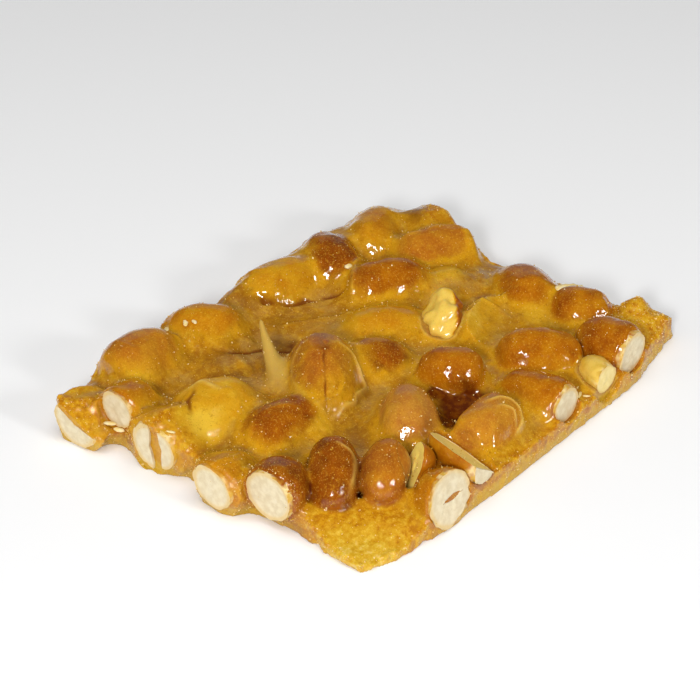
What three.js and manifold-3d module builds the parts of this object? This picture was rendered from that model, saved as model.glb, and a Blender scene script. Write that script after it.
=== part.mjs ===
// A sawn piece of peanut brittle, lying flat: one slab of caramel with whole, sawn and split peanuts sunk
// in it. Millimetres, +Z up, +X along the long side, the slab's underside on z = 0, origin under the middle.
import * as THREE from "three";
import { mergeVertices } from "three/addons/utils/BufferGeometryUtils.js";
import Module from "manifold-3d";

const wasm = await Module();
wasm.setup();

// Caramel levels. Toward each side the surface rounds off, over its reach, to a share of its height.
const SLAB_TOP = 5.4;
const THIN_CORNER = { x: -40.6, y: -30.4, top: 1.9, near: 4, far: 19 };
const LEDGE = { x: -44.5, y: 20.6, top: 3.2, near: 1.6, far: 5 };
const RIMS = {
  left: { share: 0.86, reach: 1.6 },
  front: { share: 0.54, reach: 5.5 },
  right: { share: 0.6, reach: 4.5 },
  back: { share: 0.68, reach: 4 },
};
const WALL_LEAN = 0.6; // how far the top of a side wall stands in from its foot
const RIPPLE = { height: 0.22, across: 0.31, along: 0.23 };
const COLLAR = { rise: 1.5, reach: 1.8 }; // the caramel's climb round each nut
const GRID = { along: 29, across: 25, up: 2 };

// The four sides of the outline, sawn or broken, each from its first corner to its last.
const SIDES = {
  left: [
    [-40.6, -30.4], [-40.9, -25], [-39.7, -16], [-40.4, -7.6], [-43.4, -2.8], [-41.4, 3], [-39.9, 8],
    [-42.6, 13.6], [-41.2, 19], [-41, 23.6], [-43.4, 27.4], [-46, 30],
  ],
  front: [
    [-40.6, -30.4], [-34, -32.9], [-26.5, -33.8], [-11, -34.3], [10, -34.5], [30, -34.4], [36, -33],
    [46, -31.2],
  ],
  right: [
    [46, -31.2], [45.6, -27], [43.4, -21], [43, -12], [42.2, 0], [41, 6], [45, 15], [45.2, 24], [40.5, 32.4],
  ],
  back: [
    [-46, 30], [-38, 33.8], [-28, 36], [-20, 34.4], [-12, 34.6], [-3, 34], [10, 34.4], [24, 34], [32, 34.4],
    [40.5, 32.4],
  ],
};

// Low humps of caramel with nothing of a nut showing.
const MOUNDS = [
  { x: 37, y: 28, top: 9, reach: 4.4 },
  { x: 27.6, y: 4.6, top: 8.2, reach: 5.2 },
  { x: 0.4, y: 13, top: 7, reach: 5 },
  { x: -16.4, y: 20, top: 7.2, reach: 5 },
  { x: -0.6, y: 31, top: 9.2, reach: 4.4 },
  { x: 14, y: 31.6, top: 8.8, reach: 3.6 },
  { x: 25.8, y: 31.2, top: 8.8, reach: 4 },
  { x: -40, y: 30, top: 8, reach: 5 },
];

// Round lumps fused on: the tongue over the corner nut, then the knob at the right corner and its shoulder.
const LUMPS = [
  { x: -42, y: 27, z: 5.4, along: 4.2, across: 5, up: 2.9 },
  { x: 41, y: -26, z: 5.2, along: 3.2, across: 3, up: 3.6 },
  { x: 43, y: -28.6, z: 3.6, along: 2.6, across: 2.4, up: 2.4 },
];

// A horn of caramel pulled up beside the tallest nut, drawn in to a tip.
const HORN = {
  foot: [-15.8, 6.6, 4],
  bend: [-14.4, 12, 8.6],
  tip: [-9.6, 18.2, 11.6],
  radius: 1.7,
  taken: 0.86, // share of the radius lost at the tip
  sides: 8,
  steps: 8,
};

// The slab's sides that a saw ran along, and the way each faces.
const SAWN_SIDES = {
  left: { axis: "x", outward: -1 },
  front: { axis: "y", outward: -1 },
  right: { axis: "x", outward: 1 },
};

// A nut's middle, its heading, climb and roll about its own length in degrees, and its length and width.
// A split nut keeps the half under its seam plane. A sawn one ends at the named side, at that x or y on
// the floor, with its cut leaning in by some degrees.
function nut([x, y, z], [heading, pitch, roll], [long, wide], cut = {}) {
  return { x, y, z, heading, pitch, roll, long, wide, lean: 0, ...cut };
}

const NUTS = [
  nut([-43.6, 27.2, 4.75], [4, 0, 20], [8.8, 9.8], { sawn: "left", at: -45.8, split: true }),
  nut([-38.2, 22.4, 6.5], [10, -10, 20], [10, 7.2], { sawn: "left", at: -40.8 }),
  nut([-39.4, 12.8, 4.8], [4, 0, 84], [9.6, 9.2], { sawn: "left", at: -42.6, split: true }),
  nut([-39.2, 11.2, 4.6], [4, 0, -96], [9, 8], { sawn: "left", at: -42.2, split: true }),
  nut([-41.2, -2.3, 4.6], [8, -8, 30], [10.4, 8.4], { sawn: "left", at: -44.2 }),
  nut([-38.4, -11.3, 6.1], [26, 0, -10], [10.8, 9.6], { sawn: "left", at: -41.2 }),
  nut([-29.8, -15.6, 5.3], [220, -12, 90], [14, 8.8]),
  nut([-24.3, -21.9, 5.5], [212, -12, 70], [11.6, 8.2]),
  nut([-20.6, -24.5, 5.6], [180, -60, 40], [9.2, 7], { split: true }),
  nut([-13.6, -29.4, 6.9], [-95, -8, -38], [13.6, 7.6], { sawn: "front", at: -34, split: true }),
  nut([-22.1, -33.2, 5], [88, 0, 14], [10.6, 10], { sawn: "front", at: -34.5, lean: 12 }),
  nut([-3, -26.6, 5.3], [6, 0, 60], [12.6, 9.2]),
  nut([9.8, -28, 5.3], [94, 0, 40], [13.6, 8], { sawn: "front", at: -33 }),
  nut([21.8, -31.2, 5], [64, 0, 20], [8.4, 6], { sawn: "front", at: -33.4 }),
  nut([29.5, -28.5, 5.6], [96, 0, -30], [12.2, 9.4], { sawn: "front", at: -33 }),
  nut([18.9, -21, 5.4], [-44, 0, 75], [14.4, 9.6]),
  nut([35.7, -18.4, 5], [-58, 0, 40], [10.2, 8.8]),
  nut([34.8, -6.7, 5.1], [48, 0, 10], [12, 9.4]),
  nut([4.9, -12.5, 5.7], [122, 0, 60], [10.8, 9.7]),
  nut([-10.3, -15.5, 5.8], [44, 6, 80], [13.2, 9.5]),
  nut([-0.8, -0.2, 5], [-36, 0, 30], [10.6, 8.4]),
  nut([-11.6, 2.2, 6.7], [222, -16, 90], [14.6, 10.8]),
  nut([-24.8, -0.4, 4.9], [-4, 0, 15], [13.4, 9]),
  nut([-28.2, 11.2, 5.2], [-22, 0, 50], [12.2, 9.4]),
  nut([-27, 29.9, 6.3], [4, 0, 35], [13.2, 10]),
  nut([-12.2, 29.2, 5.8], [140, 4, 60], [11.6, 8.6]),
  nut([7.4, 28.6, 5.8], [-12, 0, 20], [13.4, 8.2]),
  nut([19, 26.4, 6.4], [58, 0, 30], [12.8, 9]),
  nut([31.4, 26.2, 5.8], [28, 0, 45], [11.8, 8.4]),
  nut([34.4, 14.2, 5.6], [-30, 4, 80], [13.8, 9]),
  nut([19.4, 13.2, 6], [152, 6, 55], [13.8, 9.6]),
  nut([9.4, 6, 4.6], [134, 0, 25], [12.4, 8.2]),
  nut([16.8, -1.6, 6.2], [24, 22, 160], [9.6, 7.4], { split: true }),
  nut([21.4, -8.4, 5.2], [20, 0, 40], [12, 8.4], { split: true }),
  nut([42, 20.8, 4.3], [4, 0, 10], [12, 8.8], { sawn: "right", at: 44.6 }),
];

// The kernels' shape: narrowing and beak toward the pointed end, depth over width, and how blunt the ends
// are, where 2 is an ellipsoid's.
const NUT_FORM = { taper: 0.1, beak: 0.06, flatness: 0.93, bluntness: 2.5, segments: 10, rings: 7 };
const CLEARANCE = 0.3; // between a nut and the caramel round it
const CUTTER = 60; // edge of the block that a saw cut takes away

const CARAMEL = new THREE.MeshStandardMaterial({ color: 0xb57a14, roughness: 0.25, metalness: 0 });
const SKIN = new THREE.MeshStandardMaterial({ color: 0xa45a16, roughness: 0.3, metalness: 0 });
const FLESH = new THREE.MeshStandardMaterial({ color: 0xe9dcb6, roughness: 0.6, metalness: 0 });

// three.js geometry to a manifold-3d solid, with only shared positions left.
function toSolid(geometry) {
  const bare = geometry.clone();
  bare.deleteAttribute("normal");
  bare.deleteAttribute("uv");
  const merged = mergeVertices(bare, 1e-4);
  return new wasm.Manifold(
    new wasm.Mesh({
      numProp: 3,
      vertProperties: merged.attributes.position.array,
      triVerts: new Uint32Array(merged.index.array),
    }),
  );
}

// The largest body of a manifold-3d solid as three.js geometry, without loose scraps.
function toGeometry(solid) {
  const largest = solid.decompose().sort((a, b) => b.volume() - a.volume())[0];
  const mesh = largest.getMesh();
  const geometry = new THREE.BufferGeometry();
  geometry.setAttribute("position", new THREE.BufferAttribute(mesh.vertProperties, 3));
  geometry.setIndex(new THREE.BufferAttribute(mesh.triVerts, 1));
  geometry.computeVertexNormals();
  return geometry;
}

const smoothstep = THREE.MathUtils.smoothstep;
const radians = THREE.MathUtils.degToRad;

// How much wider than a ball a kernel is at a share of the way to its end.
function fuller(share) {
  const ball = Math.sqrt(1 - share * share);
  const blunt = (1 - share ** NUT_FORM.bluntness) ** (1 / NUT_FORM.bluntness);
  return ball > 0.01 ? blunt / ball : 1;
}

// A kernel lying along +X: blunt at -X, narrower and beaked at +X, its seam plane at z = 0.
function kernel(nut, grow) {
  const ball = new THREE.SphereGeometry(1, NUT_FORM.segments, NUT_FORM.rings).rotateZ(-Math.PI / 2);
  const halfLong = nut.long / 2 + grow;
  const halfWide = nut.wide / 2 + grow;
  const halfDeep = (nut.wide * NUT_FORM.flatness) / 2 + grow;
  const place = ball.attributes.position;
  for (let i = 0; i < place.count; i++) {
    const along = place.getX(i);
    const girth = (1 - NUT_FORM.taper * along) * fuller(Math.abs(along));
    const beak = NUT_FORM.beak * smoothstep(along, 0.9, 1);
    const across = place.getY(i) * halfWide * girth;
    const up = place.getZ(i) * halfDeep * girth;
    place.setXYZ(i, halfLong * (along + beak), across, up);
  }
  return ball;
}

// Where a nut lies, as a matrix from its own frame to the slab's.
function placement(nut) {
  const turn = new THREE.Euler(radians(nut.roll), radians(-nut.pitch), radians(nut.heading), "ZYX");
  return new THREE.Matrix4().makeRotationFromEuler(turn).setPosition(nut.x, nut.y, nut.z);
}

// The block beyond a nut's sawn side, which the saw takes away.
function sawBlock(nut) {
  const { axis, outward } = SAWN_SIDES[nut.sawn];
  const lean = radians(nut.lean) * outward;
  const block = new THREE.BoxGeometry(CUTTER, CUTTER, CUTTER);
  const outside = (outward * CUTTER) / 2;
  if (axis === "x") return block.translate(outside, 0, 0).rotateY(-lean).translate(nut.at, nut.y, 0);
  return block.translate(0, outside, 0).rotateX(lean).translate(nut.x, nut.at, 0);
}

// The half space over a nut's seam plane, which a split nut has lost.
function lostHalf(grow) {
  return new THREE.BoxGeometry(CUTTER, CUTTER, CUTTER).translate(0, 0, CUTTER / 2 + grow);
}

function nutMesh(nut, index) {
  let solid = toSolid(kernel(nut, 0));
  if (nut.split) solid = solid.subtract(toSolid(lostHalf(0)));
  if (nut.sawn) {
    const block = sawBlock(nut).applyMatrix4(placement(nut).invert());
    solid = solid.subtract(toSolid(block));
  }
  const mesh = new THREE.Mesh(toGeometry(solid), nut.split ? FLESH : SKIN);
  mesh.name = `peanut_${String(index + 1).padStart(2, "0")}`;
  mesh.position.set(nut.x, nut.y, nut.z);
  mesh.rotation.set(radians(nut.roll), radians(-nut.pitch), radians(nut.heading), "ZYX");
  return mesh;
}

// The room that a nut takes in the caramel.
function pocket(nut) {
  let room = toSolid(kernel(nut, CLEARANCE));
  if (nut.split) room = room.subtract(toSolid(lostHalf(CLEARANCE)));
  return toSolid(toGeometry(room).applyMatrix4(placement(nut)));
}

const curves = Object.fromEntries(
  Object.entries(SIDES).map(([side, points]) => [
    side,
    new THREE.SplineCurve(points.map(([x, y]) => new THREE.Vector2(x, y))),
  ]),
);

// A point of the plan, from 0 to 1 along x and y, spread evenly between the four sides.
function planPoint(u, v) {
  const front = curves.front.getPointAt(u);
  const back = curves.back.getPointAt(u);
  const left = curves.left.getPointAt(v);
  const right = curves.right.getPointAt(v);
  const corner = (s, t) => curves[t ? "back" : "front"].getPointAt(s);
  const point = front.multiplyScalar(1 - v).addScaledVector(back, v);
  point.addScaledVector(left, 1 - u).addScaledVector(right, u);
  point.addScaledVector(corner(0, 0), -(1 - u) * (1 - v)).addScaledVector(corner(1, 0), -u * (1 - v));
  return point.addScaledVector(corner(0, 1), -(1 - u) * v).addScaledVector(corner(1, 1), -u * v);
}

// The share of its height that the surface keeps at a distance in from a side.
function rimShare(rim, inward) {
  const t = Math.min(inward / rim.reach, 1);
  return rim.share + (1 - rim.share) * Math.sqrt(1 - (1 - t) * (1 - t));
}

function lowered(place, x, y, level) {
  const away = Math.hypot(x - place.x, y - place.y);
  return place.top + (level - place.top) * smoothstep(away, place.near, place.far);
}

// The caramel's climb round one nut at a point of the plan.
function collar(nut, x, y) {
  const along = (x - nut.x) * Math.cos(radians(nut.heading)) + (y - nut.y) * Math.sin(radians(nut.heading));
  const beside = (y - nut.y) * Math.cos(radians(nut.heading)) - (x - nut.x) * Math.sin(radians(nut.heading));
  const out = Math.hypot((along * 2) / nut.long, (beside * 2) / nut.wide) - 1;
  const gap = (Math.max(out, 0) * nut.wide) / 2;
  return COLLAR.rise * Math.exp(-((gap / COLLAR.reach) ** 2));
}

// The caramel's upper surface at a point of the plan, x and y with its distances in from the four sides.
function surface(x, y, inward) {
  let level = SLAB_TOP + RIPPLE.height * Math.sin(RIPPLE.across * x) * Math.cos(RIPPLE.along * y + x * 0.1);
  level += Math.max(...NUTS.map((nut) => collar(nut, x, y)));
  for (const mound of MOUNDS) {
    const away = Math.hypot(x - mound.x, y - mound.y) / mound.reach;
    level += Math.max(mound.top - level, 0) * Math.exp(-away * away);
  }
  level = lowered(THIN_CORNER, x, y, level);
  level = lowered(LEDGE, x, y, level);
  return level * Math.min(...Object.keys(RIMS).map((side) => rimShare(RIMS[side], inward[side])));
}

// The slab without its nuts: a box whose plan is the outline and whose top is the surface.
function slab() {
  const box = new THREE.BoxGeometry(1, 1, 1, GRID.along, GRID.across, GRID.up);
  const length = curves.front.getLength();
  const width = curves.left.getLength();
  const place = box.attributes.position;
  for (let i = 0; i < place.count; i++) {
    const u = place.getX(i) + 0.5;
    const v = place.getY(i) + 0.5;
    const up = place.getZ(i) + 0.5;
    const lean = 1 - (2 * WALL_LEAN * up) / width;
    const point = planPoint(0.5 + (u - 0.5) * lean, 0.5 + (v - 0.5) * lean);
    const inward = { left: u * length, right: (1 - u) * length, front: v * width, back: (1 - v) * width };
    place.setXYZ(i, point.x, point.y, up * surface(point.x, point.y, inward));
  }
  return box;
}

// The pulled horn: a round section swept along a curve, narrower at each step.
function horn() {
  const [foot, bend, tip] = [HORN.foot, HORN.bend, HORN.tip].map((point) => new THREE.Vector3(...point));
  const path = new THREE.QuadraticBezierCurve3(foot, bend, tip);
  const section = new THREE.Shape().absarc(0, 0, HORN.radius, 0, 2 * Math.PI);
  const form = { steps: HORN.steps, extrudePath: path, bevelEnabled: false, curveSegments: HORN.sides };
  const sweep = new THREE.ExtrudeGeometry(section, form);
  const centres = path.getSpacedPoints(HORN.steps);
  const place = sweep.attributes.position;
  const vertex = new THREE.Vector3();
  for (let i = 0; i < place.count; i++) {
    vertex.fromBufferAttribute(place, i);
    const gaps = centres.map((centre) => centre.distanceTo(vertex));
    const step = gaps.indexOf(Math.min(...gaps));
    vertex.lerp(centres[step], (HORN.taken * step) / HORN.steps);
    place.setXYZ(i, vertex.x, vertex.y, vertex.z);
  }
  return sweep;
}

function lump({ x, y, z, along, across, up }) {
  return new THREE.SphereGeometry(1, 12, 8).rotateX(Math.PI / 2).scale(along, across, up).translate(x, y, z);
}

function caramelMesh() {
  let solid = toSolid(slab());
  for (const shape of [horn(), ...LUMPS.map(lump)]) solid = solid.add(toSolid(shape));
  for (const nut of NUTS) solid = solid.subtract(pocket(nut));
  const mesh = new THREE.Mesh(toGeometry(solid), CARAMEL);
  mesh.name = "caramel_slab";
  return mesh;
}

const brittle = new THREE.Group();
brittle.add(caramelMesh());
NUTS.forEach((nut, index) => brittle.add(nutMesh(nut, index)));

// The origin lies under the middle of the whole piece.
const middle = new THREE.Box3().setFromObject(brittle, true).getCenter(new THREE.Vector3());
brittle.position.set(-middle.x, -middle.y, 0);

export default brittle;
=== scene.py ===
"""Dresses the peanut brittle: a glossy caramel mass with glazed whole, sawn and split peanuts in it."""

import math

import bmesh
import bpy
import numpy as np
from mathutils import Euler, Matrix, Vector
from mathutils.bvhtree import BVHTree


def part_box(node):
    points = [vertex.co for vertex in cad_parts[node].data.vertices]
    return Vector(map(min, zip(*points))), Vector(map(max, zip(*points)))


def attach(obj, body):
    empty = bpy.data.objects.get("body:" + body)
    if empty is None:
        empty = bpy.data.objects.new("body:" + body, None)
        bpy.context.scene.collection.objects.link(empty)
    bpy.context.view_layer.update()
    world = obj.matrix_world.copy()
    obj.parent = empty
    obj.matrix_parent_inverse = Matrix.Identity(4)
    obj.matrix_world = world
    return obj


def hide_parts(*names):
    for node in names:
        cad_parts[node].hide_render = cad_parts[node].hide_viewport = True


MM = 0.001
SHIFT = np.array([0.1, -0.693, 0.0])  # from the plan that the nuts' places are in to the frame, in mm
SEED = 7

# The kernels' form, as in the solids: taper toward the pointed end, its beak, and depth over width.
# RINGS and SEGMENTS are how finely a kernel is made, and CAP_RINGS how finely its cut faces are.
TAPER = 0.1
BEAK = 0.06
FLATNESS = 0.93
BLUNTNESS = 2.5  # 2 is an ellipsoid, and more has blunter ends
RINGS = 44
SEGMENTS = 60
CAP_RINGS = 24
CRUMBS = 7000  # how many cling to the piece

# The caramel's grid and how softly its forms run into each other, in mm.
CELL = 0.27
CARAMEL_TRIANGLES = 190000
WALL_ROUNDING = 0.9
WALL_LEAN = 0.1
VALLEY = 1.1  # how far the caramel sags below the plain slab between the nuts
ON_FLOOR = 0.02  # points lower than this stand on the floor
HALF_LENGTH = 46
HALF_WIDTH = 35
FAR_OFF = 9.0  # stands for any large distance, in mm
ABOVE_ALL = 0.03  # a height over the whole piece, in m

SAWN_SIDES = {"left": (0, -1), "front": (1, -1), "right": (0, 1)}
SKINNED_SIDE = np.array([0.643, -0.766, 0.0])  # which side of a crumbled kernel still has its skin


def nut(place, turn, size, tone, film, **more):
    """A peanut: its middle, its (heading, pitch, roll), its (length, width), skin tone and film.

    The tone runs from 0, pale, to 1, dark. The film is the caramel's thickness on the crown, less than 0
    for a bare nut, how far it runs out, both in mm, and how much thicker it gets with each mm down. More
    says where and how the nut is sawn or split, how deep its slit is, how knobby, tanned or yellow it is,
    how much pale dust and painted sheen veil its skin, for how many mm from the cut its skin is bare, and
    how many mm of caramel round its face are cleared.
    """
    row = {"saw": None, "split": False, "open": False, "lean": 0.0, "at": 0.0}
    row.update(slit=0.0, rough=0.0, bare=0.8, cleared=0.6, tanned=0.0, yellow=0.0, haze=0.0)
    row.update(place=np.array(place, float) + SHIFT, turn=turn, size=size, tone=tone, film=film, **more)
    return row


NUTS = [
    nut((-43.6, 27.2, 4.6), (4, 0, 20), (8.8, 9.8), 0.3, (0.45, 3.0, 0.05),
        saw="left", at=-45.8, split=True, cleared=2.4),
    nut((-38.2, 22.4, 6.5), (10, -10, 20), (10, 7.2), 0.5, (0.15, 2.2, 0.14), saw="left", at=-40.8),
    nut((-39.4, 12.8, 4.8), (4, 0, 84), (9.6, 9.2), 0.3, (0.35, 3.0, 0.05),
        saw="left", at=-42.6, split=True),
    nut((-39.2, 11.2, 4.6), (4, 0, -96), (9, 8), 0.3, (0.35, 3.0, 0.05),
        saw="left", at=-42.2, split=True),
    nut((-41.2, -2.3, 4.6), (8, -8, 30), (10.4, 8.4), 0.45, (0.35, 3.0, 0.10),
        saw="left", at=-44.2),
    nut((-38.4, -11.3, 6.1), (26, 0, -10), (10.8, 9.6), 0.74, (0.06, 1.4, 0.03),
        saw="left", at=-41.2, bare=0.6),
    nut((-29.8, -15.6, 5.3), (220, -12, 90), (14, 8.8), 0.76, (0.08, 1.1, 0.02)),
    nut((-24.3, -21.9, 5.5), (212, -12, 70), (11.6, 8.2), 0.64, (0.08, 1.1, 0.02), haze=0.01),
    nut((-20.6, -24.5, 5.6), (180, -60, 40), (9.2, 7), 0.6, (-0.45, 0.9, 0.03),
        split=True, open=True, yellow=1.0),
    nut((-13.6, -29.4, 6.9), (-95, -8, -38), (13.6, 7.6), 0.56, (-0.45, 1.0, 0.04),
        saw="front", at=-34, split=True, open=True, tanned=1.0),
    nut((-22.1, -33.2, 5), (88, 0, 14), (10.6, 10), 0.5, (0.05, 1.6, 0.05),
        saw="front", at=-34.5, lean=12.0, slit=0.6, bare=0.9),
    nut((-3, -26.6, 5.3), (6, 0, 60), (12.6, 9.2), 0.48, (0.08, 2.4, 0.06), haze=0.02),
    nut((9.8, -28, 5.3), (94, 0, 40), (13.6, 8), 0.62, (0.08, 1.8, 0.14),
        saw="front", at=-33, bare=0.3, cleared=0.2),
    nut((21.8, -31.2, 5), (64, 0, 20), (8.4, 6), 0.03, (-0.45, 0.6, 0.0),
        saw="front", at=-33.4, bare=9.0, cleared=1.2, yellow=0.5),
    nut((29.5, -28.5, 5.6), (96, 0, -30), (12.2, 9.4), 0.64, (0.06, 1.2, 0.02),
        saw="front", at=-33, bare=0.9, cleared=0.2),
    nut((18.9, -21, 5.4), (-44, 0, 75), (14.4, 9.6), 0.58, (0.1, 1.3, 0.03)),
    nut((35.7, -18.4, 5), (-58, 0, 40), (10.2, 8.8), 0.64, (0.1, 1.5, 0.04)),
    nut((34.8, -6.7, 5.1), (48, 0, 10), (12, 9.4), 0.66, (0.1, 2.6, 0.10)),
    nut((4.9, -12.5, 5.7), (122, 0, 60), (10.8, 9.7), 0.62, (0.06, 1.2, 0.03)),
    nut((-10.3, -15.5, 5.8), (44, 6, 80), (13.2, 9.5), 0.52, (0.08, 2.4, 0.06), haze=0.035),
    nut((-0.8, -0.2, 5), (-36, 0, 30), (10.6, 8.4), 0.75, (0.1, 2.8, 0.14)),
    nut((-11.6, 2.2, 6.7), (222, -16, 90), (14.6, 10.8), 0.68, (0.3, 2.4, 0.10), haze=0.01),
    nut((-24.8, -0.4, 4.9), (-4, 0, 15), (13.4, 9), 0.73, (0.1, 2.6, 0.10)),
    nut((-28.2, 11.2, 5.2), (-22, 0, 50), (12.2, 9.4), 0.22, (0.25, 3.4, 0.12)),
    nut((-27, 29.9, 6.3), (4, 0, 35), (13.2, 10), 0.48, (0.15, 2.8, 0.12), haze=0.01),
    nut((-12.2, 29.2, 5.8), (140, 4, 60), (11.6, 8.6), 0.44, (0.15, 3.4, 0.13)),
    nut((7.4, 28.6, 5.8), (-12, 0, 20), (13.4, 8.2), 0.38, (0.3, 2.2, 0.12)),
    nut((19, 26.4, 6.4), (58, 0, 30), (12.8, 9), 0.78, (0.08, 2.8, 0.07)),
    nut((31.4, 26.2, 5.8), (28, 0, 45), (11.8, 8.4), 0.5, (0.25, 3.2, 0.14)),
    nut((34.4, 14.2, 5.6), (-30, 4, 80), (13.8, 9), 0.53, (0.06, 2.6, 0.07), haze=0.01),
    nut((19.4, 13.2, 6), (152, 6, 55), (13.8, 9.6), 0.63, (0.08, 2.8, 0.13)),
    nut((9.4, 6, 4.6), (134, 0, 25), (12.4, 8.2), 0.36, (0.15, 3.0, 0.10)),
    nut((16.8, -1.6, 6.2), (24, 22, 160), (9.6, 7.4), 0.0, (-1.1, 1.4, 0.05), split=True,
        rough=0.8, yellow=1.0),
    nut((21.4, -8.4, 5.2), (20, 0, 40), (12, 8.4), 0.16, (0.25, 3.0, 0.10), split=True),
    nut((42, 20.8, 4.3), (4, 0, 10), (12, 8.8), 0.38, (0.25, 3.0, 0.06), saw="right", at=44.6),
]
for number, row in enumerate(NUTS):
    row["number"] = number
FILM_MOST = 1.5

# The caramel horn: foot, bend and tip, and its radius at foot and tip.
HORN = ((-15.8, 6.6, 4.0), (-14.4, 12.0, 8.6), (-9.6, 18.2, 11.6))
HORN_RADIUS = (2.7, 0.36)

# Folds of the film, edges of peeled skin, and slits, as lines in the plan: height, less than 0 for a
# slit, width, how pale the fold is, and the places that the line runs through.
# The slits are painted dark as shade in them, the darker the deeper they sink.
LINES = [
    (-0.45, 0.22, 0.0, [(-9.9, 3.2), (-11.6, 1.6), (-13.2, 0.1)]),
    (-0.28, 0.22, 0.0, [(-11.9, 1.3), (-13.2, 0.1), (-14.9, -1.4), (-17.2, -3.4), (-18.4, -4.5)]),
    (0.40, 0.32, 0.6, [(-8.4, 2.2), (-7.0, -1.0), (-7.2, -3.6), (-10.2, -5.0), (-14.2, -5.7),
        (-18.4, -5.2)]),
    (0.14, 0.36, 0.2, [(-11.2, 7.0), (-14.4, 6.2), (-17.0, 4.6), (-18.8, 1.4), (-19.4, -2.0),
        (-18.6, -5.0)]),
    (0.42, 0.26, 0.9, [(-2.8, -25.6), (-0.6, -26.4), (1.4, -27.6), (2.0, -29.4), (0.0, -31.2),
        (-2.6, -31.8)]),
    (0.32, 0.22, 0.8, [(-3.0, -27.8), (-1.2, -28.4), (-0.2, -29.6), (-1.4, -31.0)]),
    (0.34, 0.26, 0.8, [(-27.4, -14.6), (-27.2, -17.0), (-28.6, -19.4), (-32.0, -21.0)]),
    (0.24, 0.34, 0.5, [(-29.8, 15.0), (-28.2, 13.6), (-27.4, 11.6)]),
    (0.30, 0.30, 0.9, [(-11.2, 6.4), (-10.4, 5.5), (-9.1, 4.0), (-8.0, 2.7), (-7.4, 1.6)]),
    (0.30, 0.45, 0.9, [(-32.2, 15.4), (-30.9, 14.6), (-29.2, 13.9), (-28.8, 11.7), (-28.4, 10.6)]),
    (-0.40, 0.42, 0.0, [(-30.6, 13.4), (-31.9, 12.7), (-33.6, 12.3), (-34.8, 11.2), (-35.4, 10.2)]),
    (-0.36, 0.40, 0.0, [(-32.8, 15.0), (-33.5, 14.2), (-34.4, 13.0), (-35.0, 12.0)]),
    (0.22, 0.40, 0.0, [(-29.2, 10.6), (-26.8, 9.0), (-27.6, 6.6), (-30.5, 4.4)]),
    (0.45, 0.45, 0.1, [(23.0, 20.8), (20.0, 20.6), (16.6, 19.0), (13.2, 16.8), (11.0, 14.8)]),
    (0.35, 0.45, 0.2, [(29.6, 18.4), (32.0, 16.8), (35.0, 15.4), (38.0, 14.0), (40.4, 12.2)]),
    (0.70, 1.40, 0.0, [(40.0, 12.0), (37.0, 6.4), (33.4, 2.8), (29.4, 0.4)]),
    (0.30, 0.60, 0.0, [(-32.6, 0.8), (-28.4, 1.4), (-24.6, 0.0), (-22.0, -2.4)]),
    (0.30, 0.40, 0.0, [(20.6, -3.0), (24.0, -4.4), (25.4, -7.4), (24.6, -11.0)]),
    (-0.60, 0.50, 0.0, [(-0.5, 27.3), (1.8, 24.8), (4.7, 22.8), (8.4, 21.4), (11.5, 19.8),
        (13.6, 17.6)]),
    (-0.60, 0.50, 0.0, [(-16.6, 24.4), (-14.8, 20.8), (-12.4, 19.0), (-9.4, 17.6), (-6.4, 14.6),
        (-2.6, 11.8)]),
    (0.60, 1.30, 0.0, [(-18.4, 28.4), (-15.6, 23.6), (-12.2, 21.4), (-8.4, 20.0)]),
    (0.50, 1.20, 0.0, [(-14.8, 20.0), (-16.4, 15.4), (-18.4, 10.0), (-20.8, 5.6)]),
    (0.35, 0.90, 0.0, [(-2.6, 20.4), (1.4, 17.6), (5.2, 14.6), (8.2, 11.4)]),
    (0.30, 0.80, 0.0, [(2.0, 23.0), (8.0, 19.0), (12.4, 15.6)]),
]
# Where the caramel has sagged: places in the plan, radius and depth in mm, less than 0 where it swells.
DIPS = [
    ((-0.6, -19.4), 4.4, 1.6),
    ((-12.6, -20.4), 2.0, 1.2),
    ((-26.6, -18.4), 1.6, 1.5),
    ((-28.4, -20.2), 1.5, 1.8),
    ((-34.8, -15.4), 2.0, 1.2),
    ((22.6, -32.4), 3.0, 1.8),
    ((26.0, -26.0), 2.6, 1.6),
    ((-17.4, -21.6), 2.0, 1.2),
    ((-5.0, 14.6), 3.0, 0.8),
    ((28.1, 6.2), 4.2, -1.5),
    ((28.4, -13.2), 3.6, -1.0),
    ((-20.4, 16.0), 4.0, -0.5),
    ((37.2, -14.0), 2.4, -2.2),
]
# Where the caramel is deep, clear and dark, with painted shade in the gaps between the nuts: places in
# the plan, radius in mm, and how dark.
POOLS_AND_SHADE = [
    ((0.2, -17.6), 5.4, 1.2),
    ((2.6, -19.8), 4.4, 1.2),
    ((-3.6, -20.6), 4.8, 1.2),
    ((-1.0, -13.3), 2.6, 0.9),
    ((-7.1, -21.2), 3.2, 1.0),
    ((-12.7, -20.4), 2.8, 1.0),
    ((-27.2, -19.0), 2.8, 1.2),
    ((-29.0, -20.8), 2.2, 0.5),
    ((-17.4, -22.4), 2.8, 1.2),
    ((25.2, -25.6), 3.4, 1.2),
    ((-35.4, -16.2), 2.8, 1.0),
    ((33.0, -23.6), 2.4, 1.0),
    ((-5.0, 15.4), 3.6, 0.55),
    ((-6.4, 18.4), 3.0, 0.45),
    ((38.6, 22.2), 4.6, 0.5),
    ((41.0, 24.0), 3.6, 0.3),
    ((-1.9, 27.7), 4.0, 0.3),
    ((26.0, 19.6), 4.0, 0.3),
    ((-16.0, 20.0), 4.4, 0.25),
]
# Where it is golden, or paler still above 1: places in the plan, radius in mm, and how much.
GOLDEN = [
    ((28.1, 6.2), 4.6, 1.3),
    ((28.4, -13.2), 4.2, 1.0),
    ((-36.0, 8.6), 4.6, 2.0),
    ((-20.8, -5.6), 3.4, 0.8),
    ((9.4, 6.4), 5.0, 1.2),
    ((-32.6, 7.6), 4.0, 1.5),
    ((-31.4, 26.0), 4.0, 1.2),
]

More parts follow.
